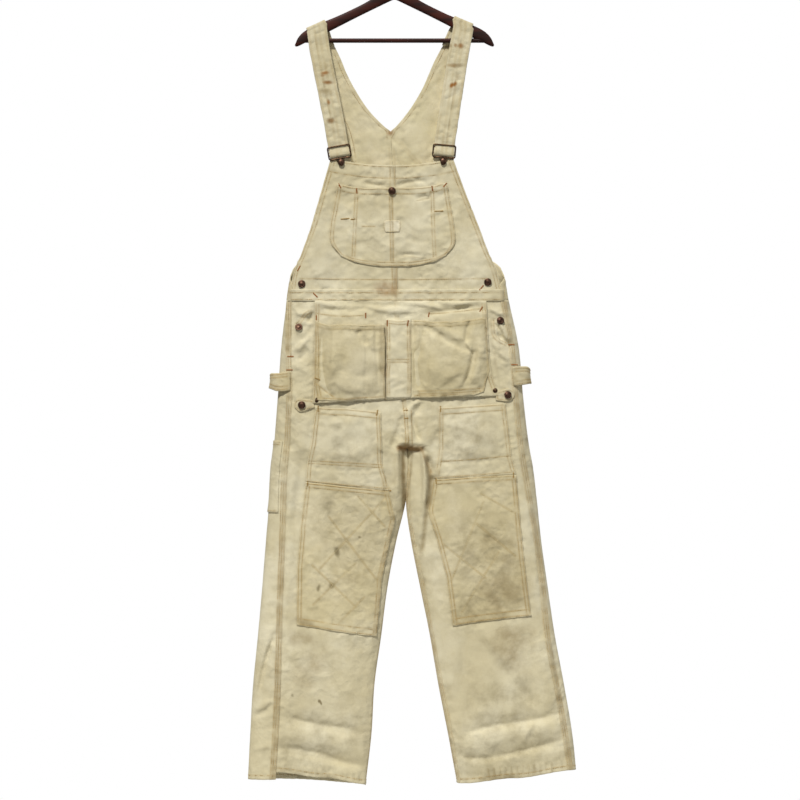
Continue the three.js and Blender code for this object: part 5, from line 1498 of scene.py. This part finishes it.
def duck(name, washed, cream, shade, dirt, grime=1.0, wrinkle=0.6):
    """A finish of the duck, with how strongly it is dirty along the seams and wrinkled."""
    material = bpy.data.materials.new(name)
    material.use_nodes = True
    tree = material.node_tree
    tree.nodes.clear()
    place = add(tree, "ShaderNodeTexCoord").outputs["Object"]
    weave = add(tree, "ShaderNodeUVMap", uv_map="weave").outputs["UV"]

    clouds = {}  # each noise with the size of its patches in millimetres
    for key, vector, size, detail, roughness, low, high in (
        ("blotch", place, 111, 4, 0.55, 0.36, 0.66),
        ("mottle", place, 29.4, 7, 0.7, 0.38, 0.76),
        ("fleck", weave, 2.4, 3, 0.6, 0.42, 0.72),
        ("patchy", place, 38, 5, 0.6, 0.2, 0.62),
        ("broad", place, 294, 3, 0.5, 0.38, 0.68),
        ("crumpled", place, 143, 2, 0.5, 0.34, 0.66),
        ("broken", place, 33, 6, 0.6, 0.25, 0.75),
    ):
        rough = {"Vector": vector, "Scale": 1 / (size * MM), "Detail": detail, "Roughness": roughness}
        noise = add(tree, "ShaderNodeTexNoise", rough).outputs["Fac"]
        limits = {"Value": noise, "From Min": low, "From Max": high}
        clouds[key] = add(tree, "ShaderNodeMapRange", limits, **soft).outputs[0]
    seam = add(tree, "ShaderNodeAttribute", attribute_name="seam").outputs["Fac"]
    limits = {"Value": seam, "From Min": 4.2, "From Max": 0.3}
    beside = add(tree, "ShaderNodeMapRange", limits, **soft).outputs[0]
    dusty = add(tree, "ShaderNodeMath", {0: beside, 1: clouds["patchy"]}, **times).outputs[0]
    layers = [
        (clouds["blotch"], 1.0, washed),
        (clouds["broad"], 0.3, shade),
        (clouds["mottle"], 0.42, shade),
        (clouds["fleck"], 0.16, shade),
        (dusty, 0.34 * grime, dirt),
    ]
    # Stains and painted shade come in one attribute, with grey, brown and rust as its three parts.
    soil = add(tree, "ShaderNodeAttribute", attribute_name="soil").outputs["Vector"]
    parts = add(tree, "ShaderNodeSeparateXYZ", {0: soil}).outputs
    for part, stain_and_shade_tint in zip(parts, STAIN_AND_SHADE_COLOURS):
        noisy = {0: clouds["broken"], 1: 0.5, 2: part}
        ragged = add(tree, "ShaderNodeMath", noisy, operation="MULTIPLY_ADD").outputs[0]
        limits = {"Value": ragged, "From Min": 0.25, "From Max": 1.6}
        amount = add(tree, "ShaderNodeMapRange", limits, **soft).outputs[0]
        limits = {"Value": part, "From Min": 0.0, "From Max": 0.3}
        present = add(tree, "ShaderNodeMapRange", limits, **soft).outputs[0]
        both = add(tree, "ShaderNodeMath", {0: amount, 1: present}, **times).outputs[0]
        layers.append((both, 1.0, stain_and_shade_tint))
    colour = linear(cream)
    for amount, share, tint in layers:
        factor = add(tree, "ShaderNodeMath", {0: amount, 1: share}, **times).outputs[0]
        mixing = {0: factor, 6: colour, 7: linear(tint)}
        colour = add(tree, "ShaderNodeMix", mixing, data_type="RGBA").outputs[2]

    waves = []
    for direction in ("X", "Y"):
        scale = {"Vector": weave, "Scale": math.pi / (10 * YARN), "Distortion": 1.2, "Detail Scale": 3.0}
        waves.append(add(tree, "ShaderNodeTexWave", scale, bands_direction=direction).outputs["Fac"])
    threads = add(tree, "ShaderNodeMath", {0: waves[0], 1: waves[1]}, **times).outputs[0]
    rough = {"Vector": place, "Scale": 1 / (21 * MM), "Detail": 4, "Roughness": 0.5, "Distortion": 0.6}
    creases = add(tree, "ShaderNodeTexNoise", rough).outputs["Fac"]
    bump = add(tree, "ShaderNodeBump", {"Strength": 0.35, "Distance": 0.00025, "Height": threads})
    rough = {"Vector": place, "Scale": 1 / (45 * MM), "Detail": 3}
    bent = add(tree, "ShaderNodeTexNoise", rough).outputs["Color"]
    bent = add(tree, "ShaderNodeMix", {0: 0.035, 4: place, 5: bent}, data_type="VECTOR").outputs[1]
    heights = [(creases, 0.0034)]
    for size, height in WRINKLES:
        cells = {"Vector": bent, "Scale": 1 / (size * MM), "Smoothness": 0.25}
        facets = add(tree, "ShaderNodeTexVoronoi", cells, feature="SMOOTH_F1")
        heights.append((facets.outputs["Distance"], height))
    limits = {"Value": clouds["crumpled"], "To Min": 0.12 * wrinkle, "To Max": 1.25 * wrinkle}
    strength = add(tree, "ShaderNodeMapRange", limits).outputs[0]
    for height, distance in heights:
        small = {"Strength": strength, "Distance": distance, "Height": height, "Normal": bump.outputs[0]}
        bump = add(tree, "ShaderNodeBump", small)
    shader = add(tree, "ShaderNodeBsdfPrincipled", {"Base Color": colour, "Normal": bump.outputs[0]})
    shader.inputs["Roughness"].default_value = 0.93
    shader.inputs["IOR"].default_value = 1.47
    shader.inputs["Specular IOR Level"].default_value = 0.3
    shader.inputs["Sheen Weight"].default_value = 0.12
    shader.inputs["Sheen Roughness"].default_value = 0.5
    add(tree, "ShaderNodeOutputMaterial", {"Surface": shader.outputs[0]})
    return material


# Washed duck: the pale, dry cream of the whole garment.
cotton_duck = duck("cotton_duck", "#E4DCC0", "#D7CDAC", "#BDB08A", "#AD935C", 1.0, 0.54)
# The same duck where hands and knees have worked: a shade darker, so patches and bags stand out.
soiled_duck = duck("soiled_cotton_duck", "#E0D6B6", "#D2C6A0", "#B0A27A", "#A58A55", 1.15)
# The high back, seen behind the bib, which light and washing have yellowed: warmer and cleaner.
inner_duck = duck("yellowed_cotton_duck", "#E9DFC0", "#DCD2AE", "#C2B58E", "#A88D58", 0.5, 0.42)
# Bleached cotton tape for the bare label: the lightest spot on the bib.
cotton_tape = duck("cotton_tape", "#F4EDD6", "#EADFC2", "#D5C9A4", "#B9A470", 0.6, 0.3)
print(len(bpy.data.materials), "finishes of the duck")

# %% [markdown]
# The thread, the metal and the wood are simple finishes of one shader each. Brass that has browned
# and steel that was bronzed both stay metals, so they are dark only through their colour. The wood
# is stained mahogany with a waxed, worn surface, and its grain runs along the arms.

# %% Thread, metal and wood
def plain(name, colour, second, scale, metallic, roughness, gloss=0.5, bump=0.0, stretch=(1, 1, 1)):
    """A finish whose two colours are mixed by a noise, stretched along the grain if asked."""
    material = bpy.data.materials.new(name)
    material.use_nodes = True
    tree = material.node_tree
    tree.nodes.clear()
    place = add(tree, "ShaderNodeTexCoord").outputs["Object"]
    long = add(tree, "ShaderNodeMapping", {"Vector": place, "Scale": stretch}).outputs[0]
    grain = add(tree, "ShaderNodeTexNoise", {"Vector": long, "Scale": scale, "Detail": 6.0}).outputs["Fac"]
    sharper = {"Value": grain, "From Min": 0.35, "From Max": 0.65}
    amount = add(tree, "ShaderNodeMapRange", sharper).outputs[0]
    shade = {0: amount, 6: linear(colour), 7: linear(second)}
    mixed = add(tree, "ShaderNodeMix", shade, data_type="RGBA").outputs[2]
    raised = {"Strength": bump, "Distance": 0.0003, "Height": grain}
    normal = add(tree, "ShaderNodeBump", raised).outputs[0]
    shader = add(tree, "ShaderNodeBsdfPrincipled", {"Base Color": mixed, "Normal": normal})
    shader.inputs["Metallic"].default_value = metallic
    shader.inputs["Roughness"].default_value = roughness
    shader.inputs["Specular IOR Level"].default_value = gloss
    add(tree, "ShaderNodeOutputMaterial", {"Surface": shader.outputs[0]})
    return material


# Golden thread for the seams, rust red thread for the red bar tacks, and cream thread for the label
# and the faint darns.
gold_thread = plain("golden_cotton_thread", "#AD8D54", "#C2A66E", 300, 0.0, 0.85)
rust_thread = plain("rust_cotton_thread", "#A3622F", "#B27A42", 300, 0.0, 0.85)
cream_thread = plain("cream_cotton_thread", "#D9CDA4", "#C9BB8D", 300, 0.0, 0.85)
# Brass gone brown on the buttons and studs, and bronzed steel on the buckles and rivets: small dark
# points against the cream.
browned_brass = plain("browned_brass", "#6E5344", "#463229", 260, 1.0, 0.46, bump=0.25)
bronzed_steel = plain("bronzed_steel", "#7A6149", "#42332A", 320, 1.0, 0.45, bump=0.25)
# Dark red wood that holds the picture's deepest tone, and plated wire that gives its only cool glint.
mahogany = plain("stained_mahogany", "#45180C", "#230B06", 60, 0.0, 0.55, 0.25, 0.04, (0.25, 1, 1.6))
steel_wire = plain("plated_steel_wire", "#8E8A84", "#5F5B57", 200, 1.0, 0.35, bump=0.15)
print(len(bpy.data.materials), "materials")

# %% [markdown]
# Now the grids become cloth. Each has an outer and an inner layer and a rounded rim between them. Its
# arc lengths become a UV map in metres, so that the weave runs along the real grain of each panel.

# %% Cloth becomes meshes
RIM_BULGE = 0.8  # 1 would make the rim as round as a half circle


def shell(cloth, material):
    """A thin closed shell from a cloth's grid, with its weave map, its stains and painted shade, and its
    seam distance.
    """
    outer, normals = cloth.points, cloth.normals()
    rows, columns = outer.shape[:2]
    inner = outer - normals * cloth.thickness
    ring = [(0, j) for j in range(columns)] + [(i, columns - 1) for i in range(1, rows)]
    ring += [(rows - 1, j) for j in range(columns - 2, -1, -1)] + [(i, 0) for i in range(rows - 2, 0, -1)]
    ring = np.array(ring)
    inward = np.clip(ring, 1, [rows - 2, columns - 2])
    edge = outer[ring[:, 0], ring[:, 1]]
    away = unit(edge - outer[inward[:, 0], inward[:, 1]])
    half = cloth.thickness / 2
    rim = edge - normals[ring[:, 0], ring[:, 1]] * half + away * half * RIM_BULGE
    points = np.concatenate([outer.reshape(-1, 3), inner.reshape(-1, 3), rim])
    quads, layer = cloth.quads(), rows * columns
    top = ring[:, 0] * columns + ring[:, 1]
    middle = 2 * layer + np.arange(len(ring))
    walls = []
    for high, low in ((top, middle), (middle, top + layer)):
        walls.append(np.stack([high, np.roll(high, -1), np.roll(low, -1), low], -1))
    faces = np.concatenate([quads[:, ::-1], quads + layer, np.concatenate(walls)[:, ::-1]])
    if cloth.sign < 0:
        faces = faces[:, ::-1]
    thing = new_object(cloth.name + "_cloth", points, faces, material)
    mesh = thing.data
    spread = lambda values: np.concatenate([values, values, values[top]]).astype(np.float32)
    uv = spread(np.stack([cloth.along(1) * MM, cloth.along(0) * MM], -1).reshape(-1, 2))
    corners = np.empty(len(mesh.loops), np.int32)
    mesh.loops.foreach_get("vertex_index", corners)
    mesh.uv_layers.new(name="weave").data.foreach_set("uv", uv[corners].ravel())
    seam = mesh.attributes.new("seam", "FLOAT", "POINT")
    seam.data.foreach_set("value", spread(seam_distance[cloth.name].ravel()))
    outside = soil_and_shade_at(outer, normals).reshape(-1, 3)
    inside = soil_and_shade_at(inner, -normals).reshape(-1, 3)
    soiled_and_shaded = np.concatenate([outside, inside, outside[top]]).astype(np.float32)
    soil = mesh.attributes.new("soil", "FLOAT_VECTOR", "POINT")
    soil.data.foreach_set("vector", soiled_and_shaded.ravel())
    return thing


def triangles(piece):
    return len(piece.data.loops) - 2 * len(piece.data.polygons)


WORN = ("knee_patch_left", "knee_patch_right", "apron_bag_left", "apron_bag_right")
LOOKS = {name: soiled_duck for name in WORN + ("hammer_loop_left", "hammer_loop_right")}
LOOKS.update(label_blank=cotton_tape, back_yoke_left=inner_duck, back_yoke_right=inner_duck)
SLOTS = {name: "soiled_duck" for name in WORN + ("waistband",)}
SLOTS["label_blank"] = "cotton_tape"
for name, cloth in cloths.items():
    settle(shell(cloth, LOOKS.get(name, cotton_duck)), name)
THREADS = {"rust_tacks": rust_thread, "stitching_label": cream_thread, "stitching_faint": cream_thread}
for name, (points, faces) in stitch_meshes.items():
    settle(new_object(name, points, faces, THREADS.get(name, gold_thread)))
print("cloth and thread triangles:", sum(triangles(piece) for piece in made.values()))

# %% [markdown]
# Buttons, studs and rivets are turned shapes: a profile of radius and height is spun about its axis.
# Each stands where a ray from the front meets the cloth. The studs and rivets are sunk in a little,
# and the buttons stand off it on their shanks and face more to the front than the cloth does.

# %% Buttons, studs and rivets
TACK_BUTTON = numbers("""
    0 0, 4 0, 4 1.3, 7.4 1.3, 7.9 1.7, 7.9 2.3, 7.3 2.9, 5.8 3.2, 5.2 3.0, 4.6 3.4, 2.4 4.1, 0 4.3
""")
BIB_STUD = numbers("""
    0 0, 4.5 0, 4.5 0.6, 2.5 0.9, 2.5 4.2, 5.9 4.5, 6.3 5.0, 6.3 5.8, 5.6 6.4, 3.0 7.2, 0 7.5
""")
RIVET = numbers("0 0, 5 0, 5 0.5, 4.4 0.9, 2.8 1.0, 2.4 1.4, 0 1.7")
METALWORK = """
bib_pocket_button -5 -514
side_button_upper_left -194 -708
side_button_upper_right 195 -704
side_button_lower_left -200 -799
side_button_lower_right 221 -785
apron_button_left -193 -961
apron_button_right 236 -940
apron_rivet_left -162 -951
apron_rivet_right 210 -931
"""
TURNS = 40
BUTTON_SHANK = (0, -0.5, 0)  # how far from the cloth each one starts
RIVET_SINK = (0, 0.3, 0)
STUD_SINK = (0, 0.4, 0)


def skin_of_rings(rings, tips=None):
    """Points and triangles over rings of points, closed by two tips, or end to end without them."""
    count, around = rings.shape[:2]
    points, faces = rings.reshape(-1, 3), []
    first, end = count * around, (count - 1) * around
    for k in range(around):
        n = (k + 1) % around
        for i in range(count if tips is None else count - 1):
            a, b = i * around, (i + 1) % count * around
            faces += [(a + k, a + n, b + n), (a + k, b + n, b + k)]
        if tips is not None:
            faces += [(first, n, k), (first + 1, end + k, end + n)]
    if tips is not None:
        points = np.concatenate([points, tips])
    return points, np.array(faces)


def spun(name, profile, base, axis, material):
    turning = Vector(axis).normalized().to_track_quat("Z", "Y")
    place = lambda x, y, z: base + np.array(turning @ Vector((x, y, z)))
    angles = np.linspace(0, 2 * math.pi, TURNS, endpoint=False)
    rings = [[place(r * math.cos(a), r * math.sin(a), h) for a in angles] for r, h in profile[1:-1]]
    tips = [place(0, 0, profile[0][1]), place(0, 0, profile[-1][1])]
    piece = new_object(name + "_metal", *skin_of_rings(np.array(rings), tips), material, sharp=38)
    settle(piece, name)


for row in METALWORK.strip().splitlines():
    name, x, z = row.split()
    point, normal = drop(tree, float(x), float(z))
    if "rivet" in name:
        spun(name, RIVET, point + RIVET_SINK, normal, bronzed_steel)
    else:
        axis = normal + FACING_FRONT
        spun(name, TACK_BUTTON, point + BUTTON_SHANK, axis, browned_brass)
for side, place in BUCKLES.items():
    x, _, z = on_buckle(place, 0, -STUD_BELOW, 0)
    point, _ = drop(tree, x, z)
    foot = point + STUD_SINK
    spun("bib_stud_" + side, BIB_STUD, foot, FACING_FRONT, browned_brass)
print("metal pieces:", [name for name in made if name.endswith("_metal")])

# %% [markdown]
# A sliding buckle is bent from wire: a frame with rounded corners, a bar across it that the strap
# goes over, and a keyhole loop below that hooks on the stud. A flat plate holds the loop, and three
# short teeth stand on the inside of the frame's left wire. Each part is a round section swept along a
# line, and the frame leans forward at the top because the strap passes behind it there.

# %% Buckles
KEYHOLE = numbers("-8 -13, -6.8 -17, -4.9 -23, -3.2 -27, 0 -28.6, 3.2 -27, 4.9 -23, 6.8 -17, 8 -13")
KEYHOLE_WIRE = 1.25
PLATE_WIRE = 1.0
PLATE_LEVEL = -12.4
PLATE_DROP = 0.002  # the plate's ends hang lower by this times the square of the distance
FRAME_CORNER = 4
TOOTH_LEVELS = (7.5, 1.5, -4.5)
TOOTH_WIRE = 1.1


def tube(path, radius, around=14, closed=False):
    """Points and faces of a round section swept along a path, with blunt ends if it is open."""
    path = np.array(path, float)
    ahead = unit(np.roll(path, -1, 0) - np.roll(path, 1, 0) if closed else np.gradient(path, axis=0))
    side = np.cross(ahead[0], (0.0, 1.0, 0.0))
    angles = np.linspace(0, 2 * math.pi, around, endpoint=False)[:, None]
    rings = []
    for middle, along in zip(path, ahead):
        side = side - along * (side @ along)
        side /= np.linalg.norm(side)
        other = np.cross(along, side)
        rings.append(middle + radius * (np.cos(angles) * side + np.sin(angles) * other))
    tips = [path[0] - ahead[0] * radius * 0.5, path[-1] + ahead[-1] * radius * 0.5]
    return skin_of_rings(np.array(rings), None if closed else tips)


def rounded(half_width, top, bottom, corner):
    """A rectangle with rounded corners, as u and w."""
    points = []
    for cu, cw, start in (
        (half_width - corner, top - corner, 0),
        (-half_width + corner, top - corner, 90),
        (-half_width + corner, bottom + corner, 180),
        (half_width - corner, bottom + corner, 270),
    ):
        for degrees in np.linspace(start, start + 90, 9):
            a = math.radians(degrees)
            points.append((cu + corner * math.cos(a), cw + corner * math.sin(a)))
    return points


for side, place in BUCKLES.items():
    at = lambda u, w, y: on_buckle(place, u, w, y)
    reach, bar, low_y = BUCKLE["half_width"], BUCKLE["bar"], BUCKLE["bottom_y"]
    outline = rounded(reach, BUCKLE["top"], BUCKLE["bottom"], FRAME_CORNER)
    parts = [tube([at(u, w, buckle_depth(w)) for u, w in outline], BUCKLE["wire"], closed=True)]
    parts.append(tube([at(u, bar, buckle_depth(bar)) for u in np.linspace(-reach, reach, 12)], BAR_WIRE))
    keyhole = curve(KEYHOLE, 50, smooth=True)
    parts.append(tube([at(u, w, low_y - 0.6) for u, w in keyhole], KEYHOLE_WIRE))
    bent = [at(u, PLATE_LEVEL - PLATE_DROP * u * u, low_y - 0.3) for u in np.linspace(-21, 21, 24)]
    plate, plate_faces = tube(bent, PLATE_WIRE)
    up = at(0, 1, 0) - at(0, 0, 0)
    rise = ((plate - at(0, PLATE_LEVEL, 0)) @ up)[:, None]
    parts.append((plate + up * rise * 1.2, plate_faces))  # drawn out to more than twice its height
    for w in TOOTH_LEVELS:
        tooth = [at(u, w, buckle_depth(w)) for u in np.linspace(-22.5, -19.8, 5)]
        parts.append(tube(tooth, TOOTH_WIRE, 10))
    piece = new_object("buckle_" + side + "_wire", *merge(parts), bronzed_steel, sharp=50)
    settle(piece, "buckle_" + side)
    print("buckle of", triangles(piece), "triangles on the", side)

# %% [markdown]
# The hanger is a solid wooden one whose arms are shaped to a rounded edge. Pairs of points on its
# upper and lower edges give the height of an oval section at each place along it. The bar and the
# hook are round sections again.

# %% Hanger
HANGER_LOWER = numbers("""
0 -109, 7 -112, 57 -136, 95 -155, 131 -173.5, 160 -188, 183 -198, 199 -206, 206.5 -208.5, 209 -206.5
""")
SECTION = 28  # points round the wood
BAR_LEVEL = -196
BAR_RADIUS = 4.6
HOOK_WIRE = 1.9
HOOK_RADIUS = 21.9
HOOK_LEVEL = -20


def hanger_wood():
    upper, lower = curve(HANGER_UPPER, 90, smooth=True), curve(HANGER_LOWER, 90, smooth=True)
    upper = np.concatenate([upper[:0:-1] * (-1, 1), upper])
    lower = np.concatenate([lower[:0:-1] * (-1, 1), lower])
    angles = np.linspace(0, 2 * math.pi, SECTION, endpoint=False)
    across = np.copysign(np.abs(np.cos(angles)) ** 0.5, np.cos(angles))
    up = np.copysign(np.abs(np.sin(angles)) ** 0.7, np.sin(angles))
    rings = []
    for high, low in zip(upper, lower):
        middle, half = (high + low) / 2, (high - low) / 2
        depth = HALF_WOOD * min(1, 0.45 + float(np.linalg.norm(half)) / 12)
        rings.append(np.stack([middle[0] + half[0] * up, depth * across, middle[1] + half[1] * up], 1))
    points, faces = skin_of_rings(np.array(rings), [rings[0].mean(0), rings[-1].mean(0)])
    return points, faces[:, ::-1]


bar_line = [(x, 0, BAR_LEVEL) for x in np.linspace(-190, 190, 40)]
hook_line = [(0, 0, -86), (0, 0, -72), (0, 0, -60), (1.2, 0, -52)]
for degrees in np.linspace(-62, 205, 48):
    a = math.radians(degrees)
    hook_line.append((HOOK_RADIUS * math.cos(a), 0, HOOK_LEVEL + HOOK_RADIUS * math.sin(a)))
hook_line = curve(hook_line, 130, smooth=True)
wood = new_object("hanger_wood_shaped", *hanger_wood(), mahogany, sharp=60)
bar = new_object("hanger_bar_round", *tube(bar_line, BAR_RADIUS, 28), mahogany)
hook = new_object("hanger_hook_wire", *tube(hook_line, HOOK_WIRE, 18), steel_wire, sharp=60)
settle(wood, "hanger_wood")
settle(bar, "hanger_bar")
settle(hook, "hanger_hook")
print("the wood is", round(wood.dimensions.x, 3), "m wide")

# %% [markdown]
# A pale floor lies well below the hems. The garment hangs, so the floor is part of the stage alone
# and not of the object.

# %% Floor
FLOOR_Z = -2.4
FLOOR_RADIUS = 1.2
place = (0, 0, FLOOR_Z)
bpy.ops.mesh.primitive_circle_add(vertices=96, radius=FLOOR_RADIUS, fill_type="NGON", location=place)
floor = bpy.context.object
floor.name = "floor"
# A matt painted floor in a light grey, too even to draw the eye from the cloth.
floor.data.materials.append(plain("pale_floor", "#C9C7C1", "#C5C3BD", 2, 0.0, 0.9))
print("the floor lies at", FLOOR_Z, "m")

# %% [markdown]
# Each piece of cloth was cut flat. The table gives the cut of what shows, in millimetres across and
# down and in square metres of cloth, then how the piece is held and by what. The sizes were measured
# along the seams of the finished shapes, and are printed here again to compare them with the table.

# %% Cuts of cloth
CUTS = """
front_left 286 1035 0.243 hung waistband
front_right 267 1040 0.25 hung waistband
back_left 366 1022 0.333 hung back_yoke_left
back_right 352 1034 0.323 hung back_yoke_right
bib_left 230 310 0.053 hung bib_stud_left
bib_right 228 315 0.052 hung bib_stud_right
back_yoke_left 249 596 0.061 hung strap_left
back_yoke_right 275 597 0.068 hung strap_right
strap_left 41 377 0.015 folded hanger_wood buckle_left
strap_right 41 395 0.016 folded hanger_wood buckle_right
waistband 458 25 0.011 laid bib_left bib_right
bib_pocket 268 165 0.04 laid bib_left bib_right
label_blank 35 25 0.0008 laid bib_pocket
apron 391 215 0.076 hung waistband
apron_bag_left 153 168 0.024 laid apron
apron_bag_right 166 163 0.026 laid apron
apron_tool_slot 52 164 0.0083 laid apron
apron_tab_left 45 26 0.0008 laid front_left
apron_tab_right 42 25 0.0008 laid front_right
thigh_pocket_left 174 167 0.024 laid front_left
thigh_pocket_right 170 150 0.022 laid front_right
knee_patch_left 196 311 0.055 laid front_left
knee_patch_right 190 313 0.052 laid front_right
rule_pocket 150 151 0.022 laid back_left
hammer_loop_left 155 38 0.005 hung front_left back_left
hammer_loop_right 147 38 0.0048 hung front_right back_right
"""
cuts = {row.split()[0]: row.split()[1:] for row in CUTS.strip().splitlines()}
for name, cloth in cloths.items():
    *sizes, held = cuts[name][:4]
    width, length, area = [float(size) for size in sizes]
    across, down = cloth.along(1)[:, -1].max(), cloth.along(0)[-1].max()
    a, b = cloth.points[:-1, :-1], cloth.points[1:, 1:]
    c, d = cloth.points[1:, :-1], cloth.points[:-1, 1:]
    measured = np.linalg.norm(np.cross(b - a, c - d), axis=2).sum() / 2 / 1e6
    print(f"{name}: {across:.0f} x {down:.0f}, {measured:.4f} m2, table {width:.0f} x {length:.0f}, {area}")
    piece = made[name + "_cloth"]
print("triangles in all:", sum(triangles(piece) for piece in made.values()))
